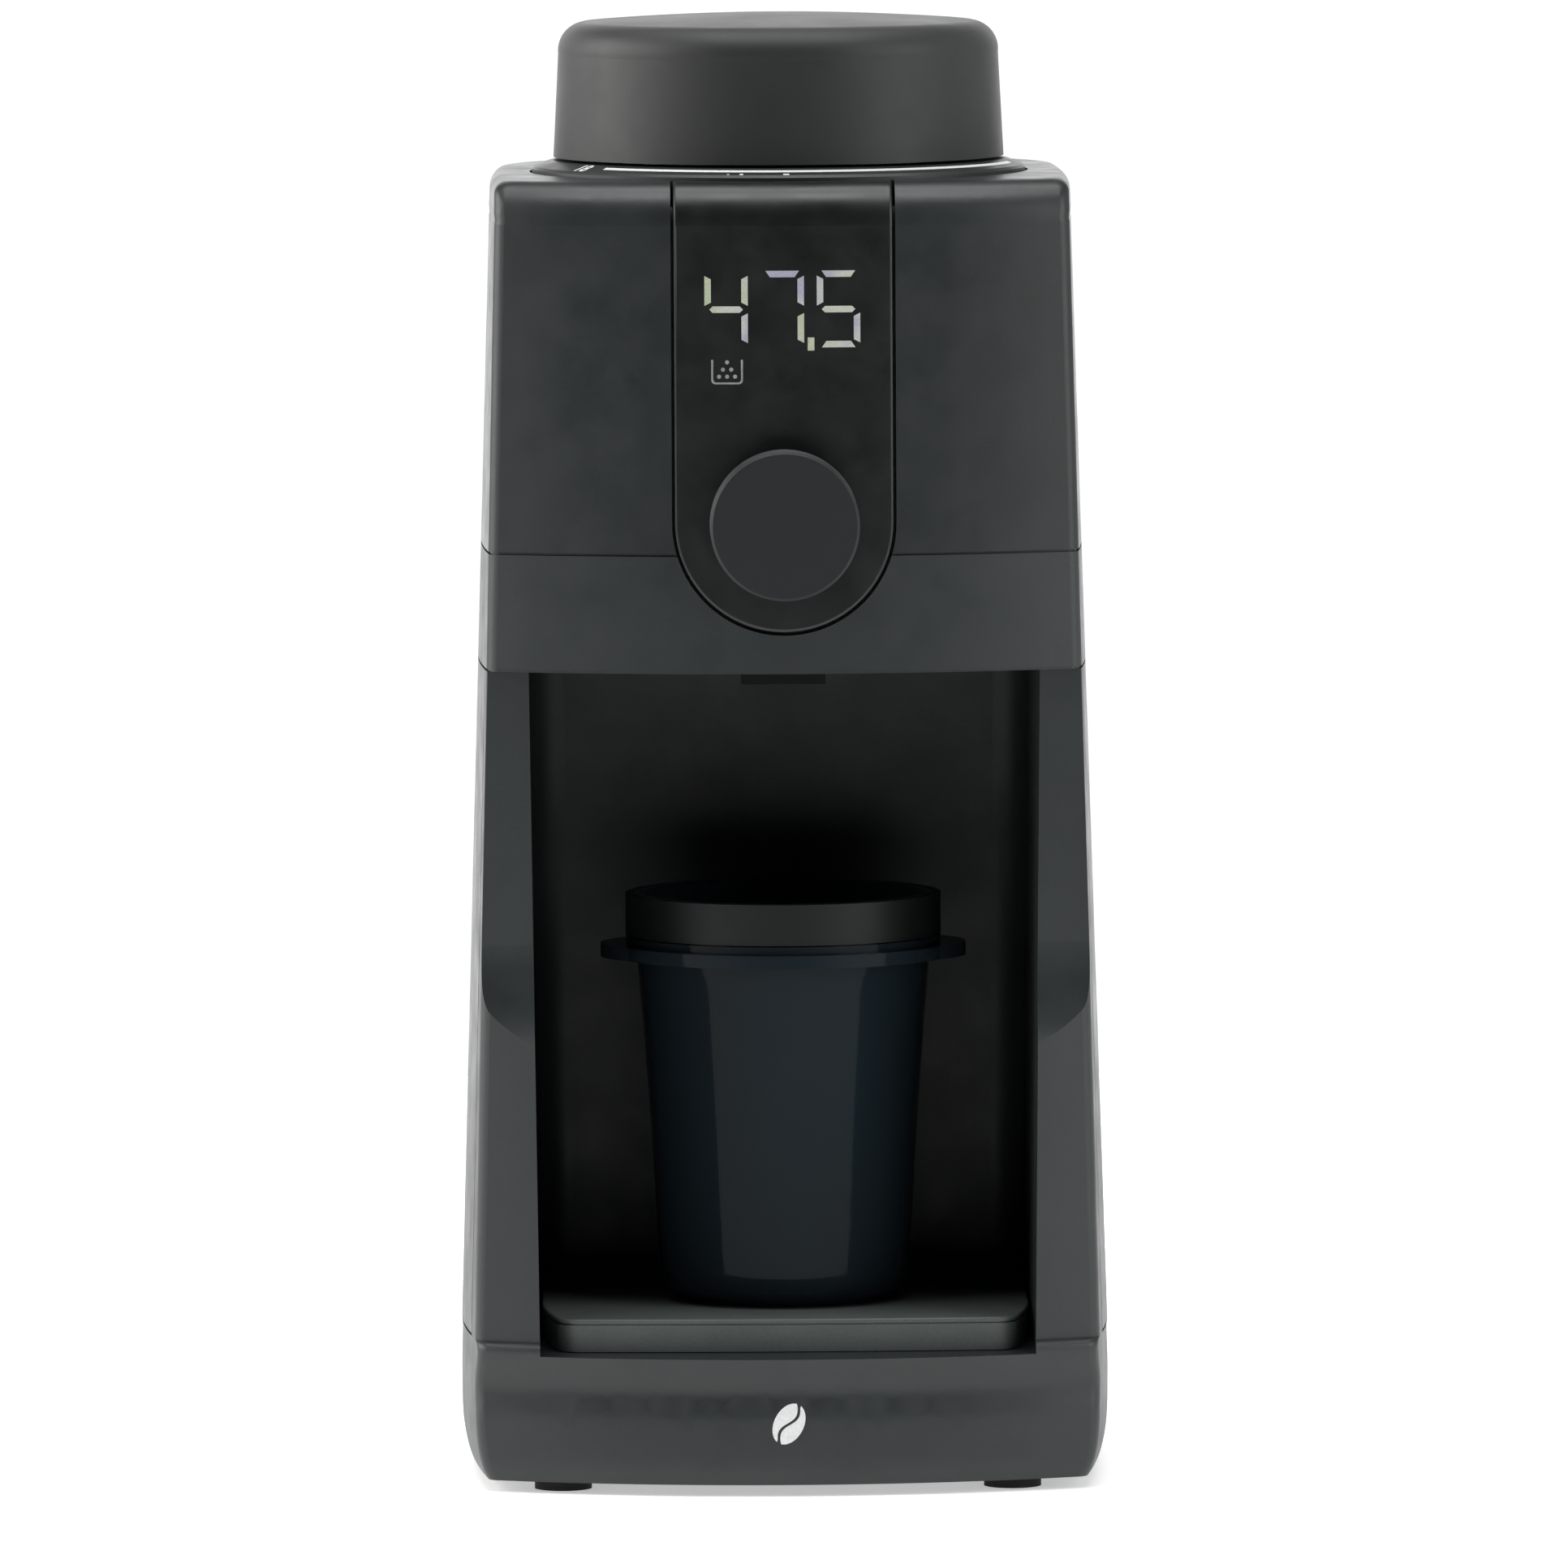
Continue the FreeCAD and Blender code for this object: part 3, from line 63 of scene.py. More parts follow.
class Look:
    """A Principled material with small helpers for its procedural parts."""

    def __init__(self, name):
        self.mat = bpy.data.materials.new(name)
        self.mat.use_nodes = True
        self.tree = self.mat.node_tree
        self.bsdf = self.tree.nodes["Principled BSDF"]
        self.coord = self.tree.nodes.new("ShaderNodeTexCoord").outputs["Object"]

    def node(self, kind, **inputs):
        made = self.tree.nodes.new(kind)
        for key, value in inputs.items():
            made.inputs[key.replace("_", " ")].default_value = value
        return made

    def link(self, out, to):
        self.tree.links.new(out, to)

    def noise(self, scale, detail=2.0, rough=0.5, stretch=None):
        vector = self.coord
        if stretch:
            mapping = self.node("ShaderNodeMapping")
            mapping.inputs["Scale"].default_value = stretch
            self.link(vector, mapping.inputs["Vector"])
            vector = mapping.outputs["Vector"]
        made = self.node("ShaderNodeTexNoise", Scale=scale, Detail=detail, Roughness=rough)
        self.link(vector, made.inputs["Vector"])
        return made.outputs["Fac"]

    def cells(self, scale):
        made = self.node("ShaderNodeTexVoronoi", Scale=scale)
        self.link(self.coord, made.inputs["Vector"])
        return made.outputs["Distance"]

    def spread(self, value, low, high, floor=0.3, top=0.7):
        """The value's usual span, floor to top, laid out from low to high."""
        made = self.tree.nodes.new("ShaderNodeMapRange")
        for key, number in (("From Min", floor), ("From Max", top), ("To Min", low), ("To Max", high)):
            made.inputs[key].default_value = number
        self.link(value, made.inputs["Value"])
        return made.outputs["Result"]

    def tones(self, value, dark, light, floor=0.3, top=0.7):
        ramp = self.tree.nodes.new("ShaderNodeValToRGB")
        ramp.color_ramp.elements[0].position = floor
        ramp.color_ramp.elements[0].color = dark
        ramp.color_ramp.elements[1].position = top
        ramp.color_ramp.elements[1].color = light
        self.link(value, ramp.inputs["Fac"])
        return ramp.outputs["Color"]

    def mixed(self, fac, a, b):
        made = self.tree.nodes.new("ShaderNodeMix")
        made.data_type = "RGBA"
        for socket, value in ((made.inputs[0], fac), (made.inputs[6], a), (made.inputs[7], b)):
            if isinstance(value, (float, tuple)):
                socket.default_value = value
            else:
                self.link(value, socket)
        return made.outputs[2]

    def bump(self, height, strength, distance, after=None):
        made = self.node("ShaderNodeBump", Strength=strength, Distance=distance)
        self.link(height, made.inputs["Height"])
        if after:
            self.link(after, made.inputs["Normal"])
        return made.outputs["Normal"]

    def set(self, **sockets):
        for key, value in sockets.items():
            socket = self.bsdf.inputs[key.replace("_", " ")]
            if isinstance(value, (int, float, tuple)):
                socket.default_value = value
            else:
                self.link(value, socket)


def moulded(name, tone, rough, grain, relief, depth=0.05 * MM, swing=0.12, specular=0.5):
    """Spark-eroded moulded plastic: fine grain in the surface, and slow, faint changes of tone and gloss."""
    look = Look(name)
    base = srgb(tone)
    slow = look.noise(38.0, 3.0)
    fine = look.noise(grain, 2.0, 0.6)
    speck = look.cells(grain * 0.55)
    cloud = look.tones(slow, scaled(base, 1 - swing), scaled(base, 1 + swing))
    fleck = look.tones(fine, scaled(base, 0.72), scaled(base, 1.30), 0.25, 0.75)
    gloss = look.spread(look.noise(90.0, 4.0, 0.6), rough - 0.05, rough + 0.06)
    specks = look.bump(speck, relief * 0.6, depth)
    look.set(Base_Color=look.mixed(0.35, cloud, fleck), Roughness=gloss,
             Normal=look.bump(fine, relief, depth, specks), Specular_IOR_Level=specular)
    return look.mat


def soft_touch(name, tone, specular):
    """Rubber-like paint: dense, dull, with a faint nap that catches light at a low angle."""
    look = Look(name)
    base = srgb(tone)
    slow = look.noise(26.0, 4.0, 0.55)
    fine = look.noise(3200.0, 2.0)
    colour = look.mixed(0.4, look.tones(slow, scaled(base, 0.86), scaled(base, 1.16)),
                        look.tones(fine, scaled(base, 0.75), scaled(base, 1.25)))
    gloss = look.spread(look.noise(55.0, 5.0, 0.65), 0.47, 0.58)
    look.set(Base_Color=colour, Roughness=gloss, Normal=look.bump(fine, 0.25, 0.04 * MM),
             Sheen_Weight=0.12, Sheen_Roughness=0.45, Specular_IOR_Level=specular)
    return look.mat


def smoked(name, tone, share, rough, ior=1.5, specular=0.5):
    """Dark tinted plastic that lets a share of light through, with faint flow marks and hairline scuffs."""
    look = Look(name)
    base = srgb(tone)
    flow = look.noise(20.0, 2.0, 0.5, (1.0, 1.0, 0.25))
    scuff = look.noise(900.0, 3.0, 0.7, (1.0, 1.0, 0.12))
    colour = look.tones(flow, scaled(base, 0.82), scaled(base, 1.18))
    gloss = look.spread(scuff, rough, rough + 0.03, 0.45, 0.8)
    look.set(Base_Color=colour, Roughness=gloss, Normal=look.bump(flow, 0.04, 0.3 * MM),
             Transmission_Weight=share, IOR=ior, Specular_IOR_Level=specular)
    return look.mat


def metal(name, tone, rough, stretch=None):
    """Machined or ground metal. stretch runs its tool marks one way."""
    look = Look(name)
    base = srgb(tone)
    marks = look.noise(700.0, 3.0, 0.6, stretch)
    stain = look.noise(70.0, 3.0)
    colour = look.mixed(0.5, look.tones(stain, scaled(base, 0.8), base),
                        look.tones(marks, scaled(base, 0.85), scaled(base, 1.1)))
    gloss = look.spread(marks, rough - 0.08, rough + 0.1)
    look.set(Base_Color=colour, Roughness=gloss, Metallic=1.0, Normal=look.bump(marks, 0.25, 0.03 * MM))
    return look.mat


def rubber(name, tone, rough):
    """Moulded rubber: dull, with open pores and a trace of dust."""
    look = Look(name)
    base = srgb(tone)
    dust = look.noise(160.0, 5.0, 0.65)
    pores = look.noise(4200.0, 2.0)
    colour = look.tones(dust, scaled(base, 0.8), scaled(base, 1.35))
    look.set(Base_Color=colour, Roughness=look.spread(dust, rough - 0.06, rough + 0.08),
             Normal=look.bump(pores, 0.35, 0.06 * MM), Specular_IOR_Level=0.35)
    return look.mat


def board(name):
    """Solder-masked board: green lacquer over a faint weave, with lighter lands."""
    look = Look(name)
    weave = look.cells(1300.0)
    lands = look.cells(260.0)
    green = look.tones(weave, srgb("#123a24"), srgb("#1d5334"), 0.1, 0.6)
    colour = look.mixed(look.spread(lands, 1.0, 0.0, 0.08, 0.12), green, srgb("#a8a38a"))
    look.set(Base_Color=colour, Roughness=look.spread(lands, 0.28, 0.42),
             Normal=look.bump(weave, 0.2, 0.05 * MM))
    return look.mat


def print_ink(name, tone):
    """Pad-printed ink: nearly even, thinner in places."""
    look = Look(name)
    base = srgb(tone)
    thin = look.noise(1500.0, 3.0, 0.6)
    look.set(Base_Color=look.tones(thin, scaled(base, 0.86), base), Roughness=look.spread(thin, 0.5, 0.6),
             Normal=look.bump(thin, 0.15, 0.03 * MM))
    return look.mat


def glow(name, first, second, third, power):
    """Lit segments seen through a dark window, drifting between three slightly different whites."""
    look = Look(name)
    drift = look.noise(95.0, 1.0)
    ramp = look.tree.nodes.new("ShaderNodeValToRGB")
    ramp.color_ramp.elements[0].position = 0.38
    ramp.color_ramp.elements[0].color = srgb(first)
    ramp.color_ramp.elements[1].position = 0.62
    ramp.color_ramp.elements[1].color = srgb(third)
    ramp.color_ramp.elements.new(0.5).color = srgb(second)
    look.link(drift, ramp.inputs["Fac"])
    dots = look.noise(3600.0, 2.0)
    look.set(Base_Color=look.tones(dots, srgb("#2a2d2b"), srgb("#3c403d")),
             Roughness=look.spread(dots, 0.3, 0.4), Emission_Color=ramp.outputs["Color"],
             Emission_Strength=look.spread(dots, power * 0.88, power * 1.1))
    return look.mat


LOOKS = {
    "body_black": moulded("body_plastic", "#202526", rough=0.42, grain=2600.0, relief=0.24),
    "rear_black": moulded("rear_plastic", "#212526", rough=0.40, grain=2600.0, relief=0.22),
    "panel_black": moulded("panel_plastic", "#0f1212", rough=0.34, grain=3400.0, relief=0.10, swing=0.08),
    "liner_black": moulded("liner_plastic", "#262a2a", rough=0.5, grain=2200.0, relief=0.3),
    "ring_black": moulded("ring_plastic", "#1f2222", rough=0.42, grain=3000.0, relief=0.12),
    "lid_soft_touch": soft_touch("lid_paint", "#1a1c1c", specular=0.45),
    "dial_black": soft_touch("dial_paint", "#13171a", specular=0.35),
    "tray_black": moulded("tray_plastic", "#525857", rough=0.46, grain=1500.0, relief=0.42,
                          depth=0.09 * MM),
    "cup_smoke": smoked("cup_plastic", "#1e272d", share=0.3, rough=0.09, ior=1.26, specular=0.1),
    "hopper_smoke": smoked("hopper_plastic", "#8a8d8f", share=0.85, rough=0.06),
    "adapter_black": moulded("adapter_plastic", "#101313", rough=0.46, grain=3000.0, relief=0.12,
                             specular=0.25),
    "rubber_black": rubber("foot_rubber", "#1b1b1b", rough=0.7),
    "seal_grey": rubber("seal_rubber", "#5d5f60", rough=0.6),
    "chassis_grey": moulded("chassis_plastic", "#6c6e6f", rough=0.5, grain=1800.0, relief=0.3),
    "gear_nylon": moulded("gear_plastic", "#cfcabb", rough=0.45, grain=900.0, relief=0.15, specular=0.4),
    "steel": metal("turned_steel", "#9b9c9e", rough=0.28, stretch=(1.0, 1.0, 8.0)),
    "burr_steel": metal("ground_steel", "#8c8d90", rough=0.34, stretch=(1.0, 1.0, 3.0)),
    "brass": metal("turned_brass", "#b08d4e", rough=0.3, stretch=(1.0, 8.0, 1.0)),
    "magnet": metal("magnet_skin", "#4c4d50", rough=0.42),
    "board_green": board("board_lacquer"),
    "led_black": moulded("led_case", "#141515", rough=0.25, grain=3600.0, relief=0.08),
}
# Nodes that look a little different from the others in their slot.
OWN_LOOKS = {
    "top_housing": moulded("housing_plastic", "#1b2021", rough=0.38, grain=2800.0, relief=0.2),
    # The grounds chute is painted near black with little gloss: painted shade, standing in for the shadow
    # under the band, not the chute's own grey.
    "grounds_chute": moulded("chute_painted_shade", "#060707", rough=0.6, grain=2200.0, relief=0.3,
                             specular=0.15),
}
for part in frame["record"]["subparts"]:
    shown = frame["nodes"][part["node"]].data
    shown.materials.clear()
    shown.materials.append(OWN_LOOKS.get(part["node"], LOOKS[part["material_slot"]]))

INK = print_ink("white_ink", "#e4e7e6")
LED = glow("led_segments", "#c9d3b4", "#d9dcd2", "#b9b9cf", 0.62)
LED_DIM = glow("led_icon", "#8f9690", "#a6aaa4", "#8d8f96", 0.6)


# ------------------------------------------------------- marks on a surface

PRINT_THICK = 0.06 * MM
LED_THICK = 0.03 * MM
MARK_SINK = 0.02 * MM        # how far a mark reaches into its surface
CLEAR = 1.0                  # a distance in front of the object, and a height over it, that are clear of it
SCALE_R = 54 * MM            # the radius at which an angle on the grind ring is written as a length


def tree_of(node):
    data = frame["nodes"][node].data
    corners = [v.co.copy() for v in data.vertices]
    return BVHTree.FromPolygons(corners, [list(p.vertices) for p in data.polygons])


def densify(bm, cell):
    """Splits the long edges, so that a flat mark can follow a curved face."""
    for _ in range(6):
        long_edges = [e for e in bm.edges if e.calc_length() > cell]
        if not long_edges:
            return
        bmesh.ops.subdivide_edges(bm, edges=long_edges, cuts=1)
        bmesh.ops.triangulate(bm, faces=bm.faces[:])


def mark(name, outlines, place, material, body, cell=1.5 * MM, thick=PRINT_THICK):
    """Thin raised mark: flat outlines, each a list of (a, b), laid on a surface by place(a, b), which
    gives a point and the way out of the surface."""
    bm = bmesh.new()
    for outline in outlines:
        bm.faces.new([bm.verts.new((a, b, 0.0)) for a, b in outline])
    bmesh.ops.triangulate(bm, faces=bm.faces[:])
    densify(bm, cell)
    flat = {v: place(v.co.x, v.co.y) for v in bm.verts}
    raised = bmesh.ops.duplicate(bm, geom=bm.verts[:] + bm.edges[:] + bm.faces[:])
    pair = raised["vert_map"]
    for vert, (point, out) in flat.items():
        twin = pair[vert]
        vert.co = point - out * MARK_SINK
        twin.co = point + out * thick
    rims = [e for e in bm.edges if e.is_boundary]
    lower = [e for e in rims if all(v in flat for v in e.verts)]
    for edge in lower:
        a, b = edge.verts
        bm.faces.new((a, b, pair[b], pair[a]))
    bmesh.ops.recalc_face_normals(bm, faces=bm.faces[:])
    data = bpy.data.meshes.new(name)
    bm.to_mesh(data)
    bm.free()
    data.materials.append(material)
    made = bpy.data.objects.new(name, data)
    scene.collection.objects.link(made)
    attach(made, body)


def on_front(tree):
    """Lays (x, z) on the front of a node, seen from -Y."""
    def place(x, z):
        hit, normal, _, _ = tree.ray_cast(Vector((x, -CLEAR, z)), Vector((0, 1, 0)))
        return hit, normal if normal.y < 0 else -normal
    return place


def on_ring(tree):
    """Lays (angle times SCALE_R, radius) on top of the grind ring. Angle 0 faces -Y, and grows to +X."""
    def place(a, r):
        angle = a / SCALE_R
        point = Vector((r * math.sin(angle), AXIS_Y - r * math.cos(angle), CLEAR))
        hit, normal, _, _ = tree.ray_cast(point, Vector((0, 0, -1)))
        return hit, normal if normal.z > 0 else -normal
    return place


def disc(x, z, r, count):
    turns = [2 * math.pi * i / count for i in range(count)]
    return [(x + r * math.cos(t), z + r * math.sin(t)) for t in turns]


# ------------------------------------------------------- digits on the display

READING = "475"
LIT = {"4": ("ul", "ur", "mid", "lr"), "7": ("top", "ur", "lr"), "5": ("top", "ul", "mid", "lr", "low")}
DIGIT_W = 9.76 * MM
DIGIT_H = 17.3 * MM
DIGIT_TOP = 276.9 * MM
DIGIT_LEFT = -17.75 * MM
PITCH = 12.65 * MM           # from one digit to the next
BAR = 1.46 * MM              # width of a bar
MITRE = 0.75 * MM            # slant at the end of a bar
END_SLANT = 1.35 * MITRE     # slant of the bars at the digit's top and foot
SHORT = 1.09 * MM            # how far a level bar stays from the digit's side
UPPER = (1.13 * MM, 7.86 * MM)       # both ends of an upper side bar, below the digit's top
LOWER = (9.54 * MM, 16.25 * MM)      # and of a lower one
POINT_W = 1.5 * MM
POINT_H = 2.94 * MM
POINT_BACK = 2.1 * MM        # how far the decimal point starts before the last digit
POINT_RISE = 2.25 * MM       # from the digits' foot to the decimal point's top


def upright(x, top, bottom, outer):
    """Side bar between two heights below the digit's top. outer is -1 for a left bar, 1 for a right one."""
    inner, edge = (x + BAR, x) if outer < 0 else (x, x + BAR)
    return [(edge, -top), (edge, -bottom), (inner, -bottom + MITRE), (inner, -top - MITRE)]


def end_bar(a, b, long_side, short_side):
    """Level bar at the digit's top or foot, from a to b."""
    return [(a, long_side), (b, long_side), (b - END_SLANT, short_side), (a + END_SLANT, short_side)]


def middle_bar(a, b, z):
    """Level bar with pointed ends, from a to b."""
    over, under = z + BAR / 2, z - BAR / 2
    return [(a, z), (a + MITRE, over), (b - MITRE, over), (b, z), (b - MITRE, under), (a + MITRE, under)]


def bars(digit, x0):
    left, right = x0, x0 + DIGIT_W - BAR
    a, b = x0 + SHORT, x0 + DIGIT_W - SHORT
    middle = (UPPER[1] + LOWER[0]) / 2
    shapes = {
        "top": end_bar(a, b, 0, -BAR),
        "mid": middle_bar(a, b, -middle),
        "low": end_bar(a, b, -DIGIT_H, -DIGIT_H + BAR),
        "ul": upright(left, *UPPER, -1),
        "ur": upright(right, *UPPER, 1),
        "lr": upright(right, *LOWER, 1),
    }
    return [[(x, DIGIT_TOP + z) for x, z in shapes[key]] for key in LIT[digit]]


def decimal_point():
    left = DIGIT_LEFT + PITCH * 2 - POINT_BACK
    top = DIGIT_TOP - DIGIT_H + POINT_RISE
    return [(left, top), (left, top - POINT_H), (left + POINT_W, top - POINT_H), (left + POINT_W, top)]


panel = tree_of("display_panel")
digits = []
for place_no, digit in enumerate(READING):
    digits += bars(digit, DIGIT_LEFT + PITCH * place_no)
digits.append(decimal_point())
mark("display_digits", digits, on_front(panel), LED, "chassis", thick=LED_THICK)


# ------------------------------------------- cup of grounds on the display

ICON_L = -16.3 * MM
ICON_R = -9.15 * MM
ICON_B = 251.4 * MM
ICON_T = 256.9 * MM
LINE = 0.48 * MM
CORNER = 0.9 * MM
GRAIN_R = 0.47 * MM
# From the middle of the icon's foot, in millimetres: a heap of one, two and three grains.
GRAINS = ((0, 4.95), (-0.93, 3.3), (0.93, 3.3), (-1.8, 1.72), (0, 1.72), (1.8, 1.72))


def mirrored(points):
    return [(ICON_R - (x - ICON_L), z) for x, z in reversed(points)]


def icon_corner(turn):
    return ICON_L + CORNER - CORNER * math.cos(turn), ICON_B + CORNER - CORNER * math.sin(turn)


def icon_cup():
    """Open cup with rounded lower corners, as a row of four-sided pieces between its rim and its inside."""
    outer = [icon_corner(turn) for turn in (0.0, 0.52, 1.05, 1.57)]
    inner = []
    for i, (x, z) in enumerate(outer):
        across = 0.9 if i < 2 else 0.5
        up = 0.2 if i < 1 else 0.85
        inner.append((x + LINE * across, z + LINE * up))
    rim = [(ICON_L, ICON_T)] + outer + mirrored(outer) + [(ICON_R, ICON_T)]
    inside = [(ICON_L + LINE, ICON_T)] + inner + mirrored(inner) + [(ICON_R - LINE, ICON_T)]
    return [[rim[i], rim[i + 1], inside[i + 1], inside[i]] for i in range(len(rim) - 1)]


icon_middle = (ICON_L + ICON_R) / 2
icon = icon_cup() + [disc(icon_middle + x * MM, ICON_B + z * MM, GRAIN_R, 14) for x, z in GRAINS]
mark("display_icon", icon, on_front(panel), LED_DIM, "chassis", cell=2.0 * MM, thick=LED_THICK)


# ------------------------------------------------------- grind ring scale

ARC_RADII = (53.1 * MM, 54.2 * MM)
TICK_RADII = (55.1 * MM, 55.75 * MM)
SMALL_TICK_RADII = (55.3 * MM, 55.6 * MM)
NUMERAL_H = 3.3 * MM
NUMERAL_FOOT = 55.5 * MM     # radius of the numbers' feet
CAPITAL_SHARE = 0.72         # a capital's height as a share of the font's size
NUMBERS = (("18", -56), ("12", -96), ("6", -136), ("24", 96), ("30", 136))


def band(radii, start, stop, steps=1):
    """Ring-shaped strip between two radii and two angles, in degrees."""
    r_in, r_out = radii
    edge = [math.radians(start + (stop - start) * i / steps) * SCALE_R for i in range(steps + 1)]
    return [[(edge[i], r_in), (edge[i + 1], r_in), (edge[i + 1], r_out), (edge[i], r_out)]
            for i in range(steps)]


def numeral(text, degrees):
    """Outlines of a number on the ring, its top towards the axis."""
    curve = bpy.data.curves.new("numeral", "FONT")
    curve.body = text
    curve.align_x = "CENTER"
    curve.size = NUMERAL_H / CAPITAL_SHARE
    curve.shear = 0.12
    curve.offset = 0.1 * MM
    holder = bpy.data.objects.new("numeral", curve)
    data = bpy.data.meshes.new_from_object(holder)
    turn = math.radians(degrees) * SCALE_R
    corners = [(turn + v.co.x, NUMERAL_FOOT - v.co.y) for v in data.vertices]
    shapes = [[corners[i] for i in face.vertices] for face in data.polygons]
    bpy.data.objects.remove(holder)
    bpy.data.curves.remove(curve)
    bpy.data.meshes.remove(data)
    return shapes


ring = tree_of("adjustment_ring")
scale_marks = band(ARC_RADII, -48, 78, 64)
scale_marks += band(TICK_RADII, 0.3, 1.7)
scale_marks += band(TICK_RADII, -9.9, -9.1)
scale_marks += band(SMALL_TICK_RADII, -12.9, -12.4)
mark("ring_scale", scale_marks, on_ring(ring), INK, "grind_ring")

numbers = []
for text, degrees in NUMBERS:
    numbers += numeral(text, degrees)
mark("ring_numbers", numbers, on_ring(ring), INK, "grind_ring", cell=1.0 * MM)


# ------------------------------------------------- coffee bean on the base

BEAN_Z = 16.6 * MM
BEAN_TALL = 4.9 * MM         # half of the bean's length
BEAN_WIDE = 3.35 * MM        # half of its width
BEAN_GAP = 0.34 * MM         # half of the crease's width
BEAN_CURL = 0.95 * MM        # how far the crease swings to each side
BEAN_LEAN = math.radians(-28)


def bean_half(side):
    """One half of a bean, cut by an S-shaped crease and leaning to the right. side is -1 or 1."""
    rounds = [math.pi * i / 20 for i in range(21)]
    outer = [(side * BEAN_WIDE * math.sin(t), BEAN_TALL * math.cos(t)) for t in rounds]
    heights = [1 - i / 10 for i in range(20, -1, -1)]
    crease = [(BEAN_CURL * math.sin(math.pi * h) + side * BEAN_GAP, BEAN_TALL * 0.97 * h) for h in heights]
    shape = [p for p in outer if side * p[0] > BEAN_GAP * 1.2]
    shape += [p for p in crease if abs(p[1]) < BEAN_TALL * 0.93]
    c, s = math.cos(BEAN_LEAN), math.sin(BEAN_LEAN)
    return [(x * c - z * s, BEAN_Z + x * s + z * c) for x, z in shape]


base_front = tree_of("main_frame")
bean = [bean_half(-1), bean_half(1)]
mark("bean_sign", bean, on_front(base_front), INK, "chassis", cell=1.2 * MM)


# --------------------------------------------------------------- floor

FLOOR_GLOW = 0.40
FLOOR_CORNERS = ((-1.8, -1.3), (1.8, 0.9))


def floor_plane(corners, material):
    data = bpy.data.meshes.new("floor")
    (x0, y0), (x1, y1) = corners
    data.from_pydata([(x0, y0, 0.0), (x1, y0, 0.0), (x1, y1, 0.0), (x0, y1, 0.0)], [], [(0, 1, 2, 3)])
    data.materials.append(material)
    made = bpy.data.objects.new("floor", data)
    scene.collection.objects.link(made)


paper = Look("paper")
paper_tone = paper.tones(paper.noise(12.0, 3.0), (0.90, 0.90, 0.895, 1.0), (0.93, 0.93, 0.925, 1.0))
paper.set(Base_Color=paper_tone, Roughness=0.85, Specular_IOR_Level=0.2,
          Emission_Color=(1.0, 1.0, 1.0, 1.0), Emission_Strength=FLOOR_GLOW)
floor_plane(FLOOR_CORNERS, paper.mat)


# ----------------------------------------------------------------- sky

FRONT_SKY = 0.01
BACK_SKY = 0.15
REAR_SKY = 2.0
LEFT_SKY = 0.72
RIGHT_SKY = 0.38
BACKDROP = 1.05              # the plain white that the camera sees behind the object
WHITE = (1.0, 1.0, 1.0)

world = bpy.data.worlds.new("studio")
scene.world = world
world.use_nodes = True
sky = world.node_tree
sky.nodes.clear()


def sky_node(kind, **inputs):
    made = sky.nodes.new(kind)
    for key, value in inputs.items():
        made.inputs[key.replace("_", " ")].default_value = value
    return made


direction = sky_node("ShaderNodeTexCoord").outputs["Generated"]
split = sky_node("ShaderNodeSeparateXYZ")
sky.links.new(direction, split.inputs[0])


def sky_side(axis, low, high, at_low, at_high):
    """Light from one side of the sky, easing from one strength to another along an axis."""
    made = sky_node("ShaderNodeMapRange")
    made.interpolation_type = "SMOOTHSTEP"
    for key, number in (("From Min", low), ("From Max", high), ("To Min", at_low), ("To Max", at_high)):
        made.inputs[key].default_value = number
    sky.links.new(split.outputs[axis], made.inputs["Value"])
    return made.outputs["Result"]


def added(a, b):
    total = sky.nodes.new("ShaderNodeMath")
    sky.links.new(a, total.inputs[0])
    sky.links.new(b, total.inputs[1])
    return total.outputs[0]


sky_light = sky_side("Y", -0.25, 0.35, FRONT_SKY, BACK_SKY)
sky_light = added(sky_light, sky_side("Y", 0.82, 0.98, 0.0, REAR_SKY))
sky_light = added(sky_light, sky_side("X", -0.9, -0.45, LEFT_SKY, 0.0))
sky_light = added(sky_light, sky_side("X", 0.45, 0.9, 0.0, RIGHT_SKY))
whole = sky_node("ShaderNodeBackground", Color=(*WHITE, 1.0))
sky.links.new(sky_light, whole.inputs["Strength"])
seen = sky_node("ShaderNodeBackground", Color=(*WHITE, 1.0), Strength=BACKDROP)
chooser = sky_node("ShaderNodeMixShader")
sky.links.new(sky_node("ShaderNodeLightPath").outputs["Is Camera Ray"], chooser.inputs[0])
sky.links.new(whole.outputs[0], chooser.inputs[1])
sky.links.new(seen.outputs[0], chooser.inputs[2])
sky.links.new(chooser.outputs[0], sky_node("ShaderNodeOutputWorld").inputs["Surface"])


# --------------------------------------------------------------- lights

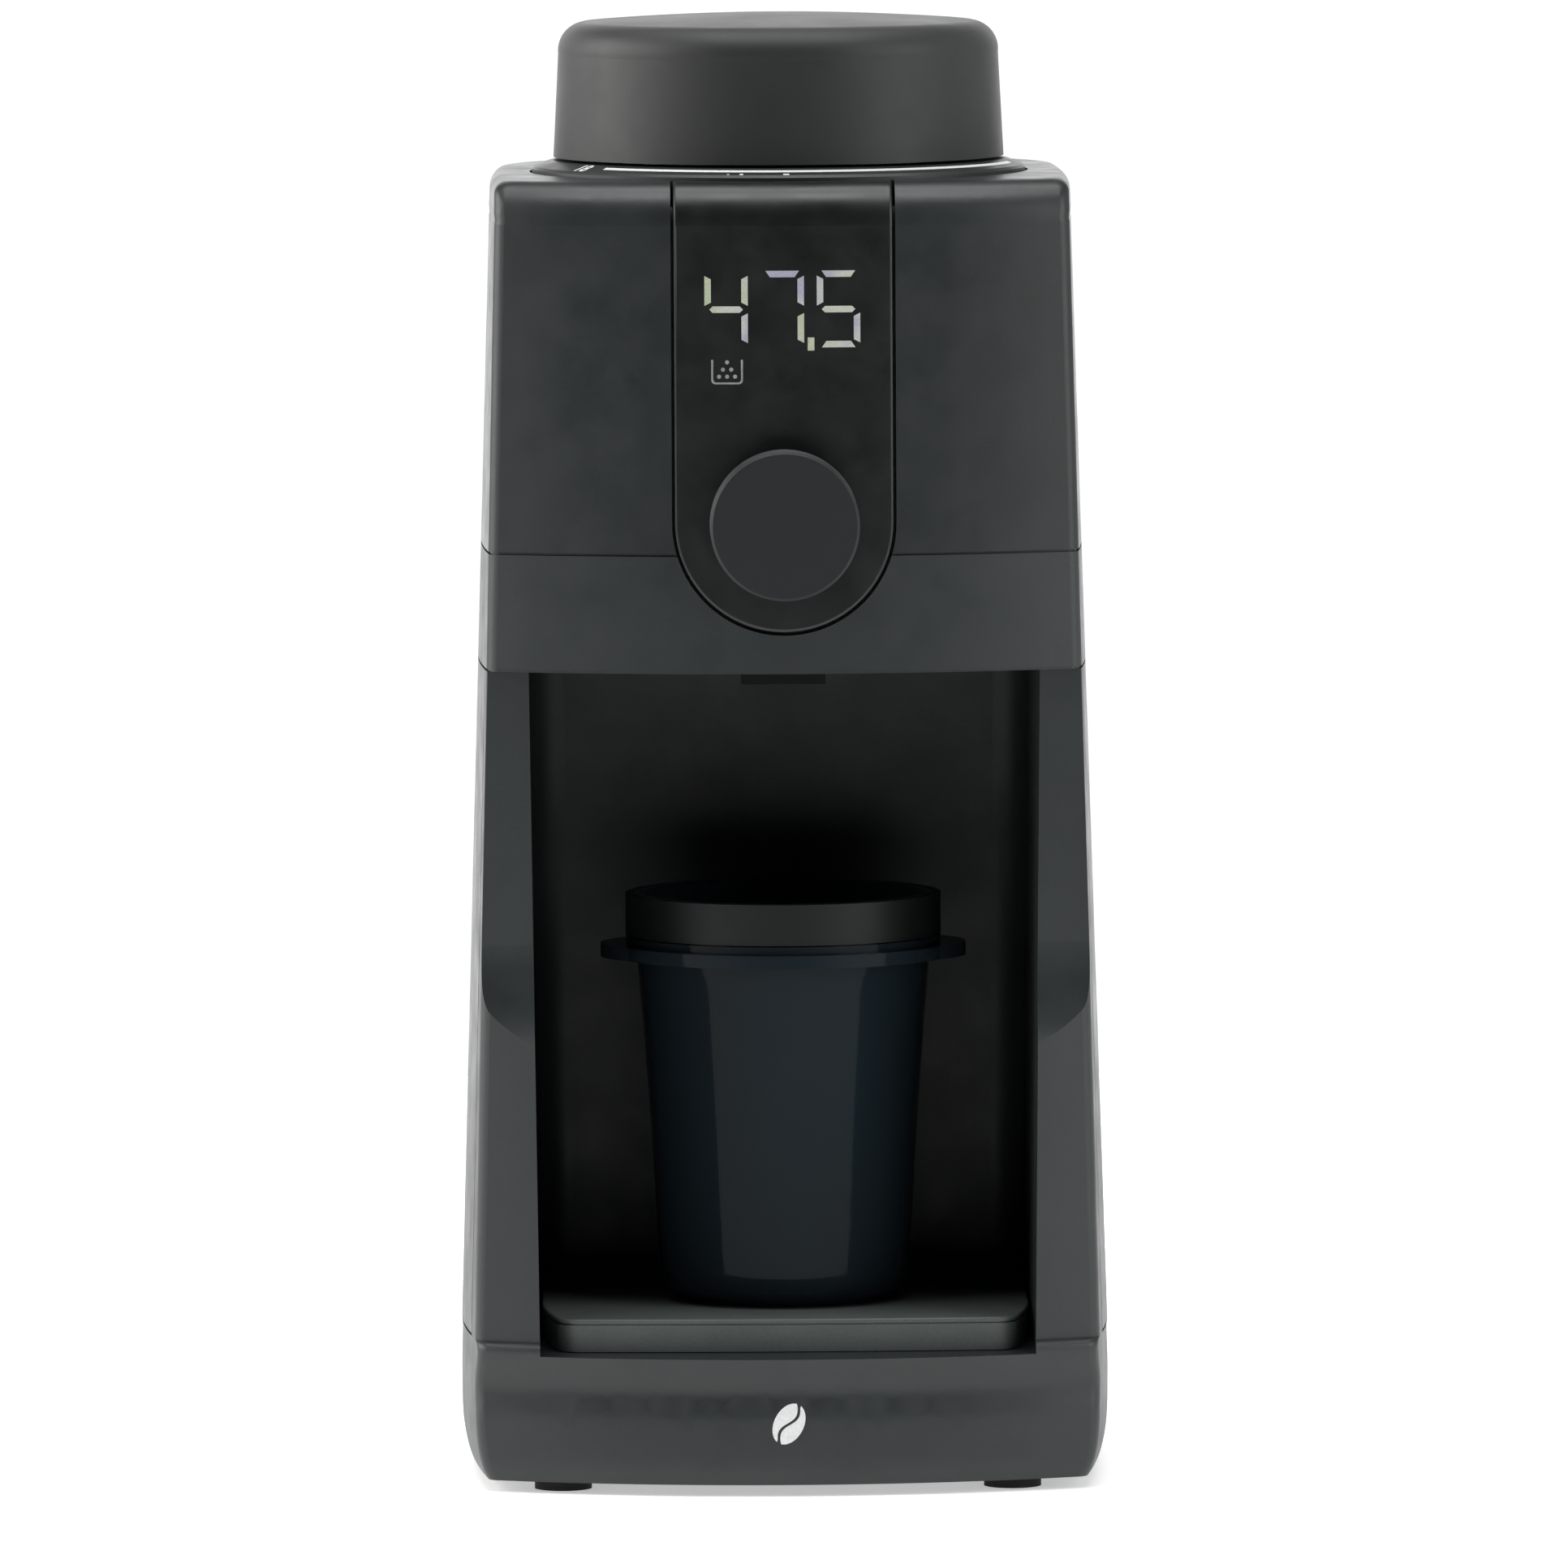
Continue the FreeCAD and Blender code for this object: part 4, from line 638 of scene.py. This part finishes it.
AIM = Vector((0.0, 0.0, 0.18))
WARM = (1.0, 0.985, 0.965)
SIDE_SIZE = (0.7, 1.2)
SIDE_HEIGHT = 20
SIDE_DISTANCE = 1.7
TOP_SIZE = (1.5, 0.5)
TOP_DISTANCE = 1.5


def around(azimuth, height, distance):
    """Place of a light, by its angle from the front towards +X and its angle above the aim."""
    a, h = math.radians(azimuth), math.radians(height)
    return AIM + distance * Vector((math.cos(h) * math.sin(a), -math.cos(h) * math.cos(a), math.sin(h)))


def softbox(name, place, size, watts, tint):
    light = bpy.data.lights.new(name, "AREA")
    light.shape = "RECTANGLE"
    light.size, light.size_y = size
    light.energy = watts
    light.color = tint
    made = bpy.data.objects.new(name, light)
    made.location = place
    made.rotation_euler = (AIM - place).to_track_quat("-Z", "Y").to_euler()
    made.visible_camera = False
    scene.collection.objects.link(made)


for name, azimuth, watts, tint in (("left_box", -85, 12.0, WARM), ("left_front_box", -55, 2.5, WARM),
                                   ("left_back_box", -110, 8.5, WARM), ("right_box", 50, 5.0, WHITE),
                                   ("right_side_box", 70, 7.0, WHITE)):
    softbox(name, around(azimuth, SIDE_HEIGHT, SIDE_DISTANCE), SIDE_SIZE, watts, tint)
for name, height, watts in (("top_box", 75, 14.0), ("top_back_box", 100, 9.0)):
    softbox(name, around(0, height, TOP_DISTANCE), TOP_SIZE, watts, WHITE)

scene.view_settings.view_transform = "Standard"
scene.view_settings.look = "None"


# --------------------------------------------------------------- camera

CAMERA_PLACE = (-0.0544, AXIS_Y - 3.946, 0.4732)
LOOK_DOWN = 4.600            # degrees below level
ROLL = 0.27                  # degrees
YAW = -0.820                 # degrees, towards +X when negative

camera_data = bpy.data.cameras.new("camera")
camera_data.sensor_width = 36.0
camera_data.lens = 396.26
camera_data.clip_start = 0.1
camera_data.clip_end = 100.0
camera = bpy.data.objects.new("camera", camera_data)
camera.location = CAMERA_PLACE
camera.rotation_mode = "XYZ"
camera.rotation_euler = (math.radians(90 - LOOK_DOWN), math.radians(ROLL), math.radians(YAW))
scene.collection.objects.link(camera)
scene.camera = camera
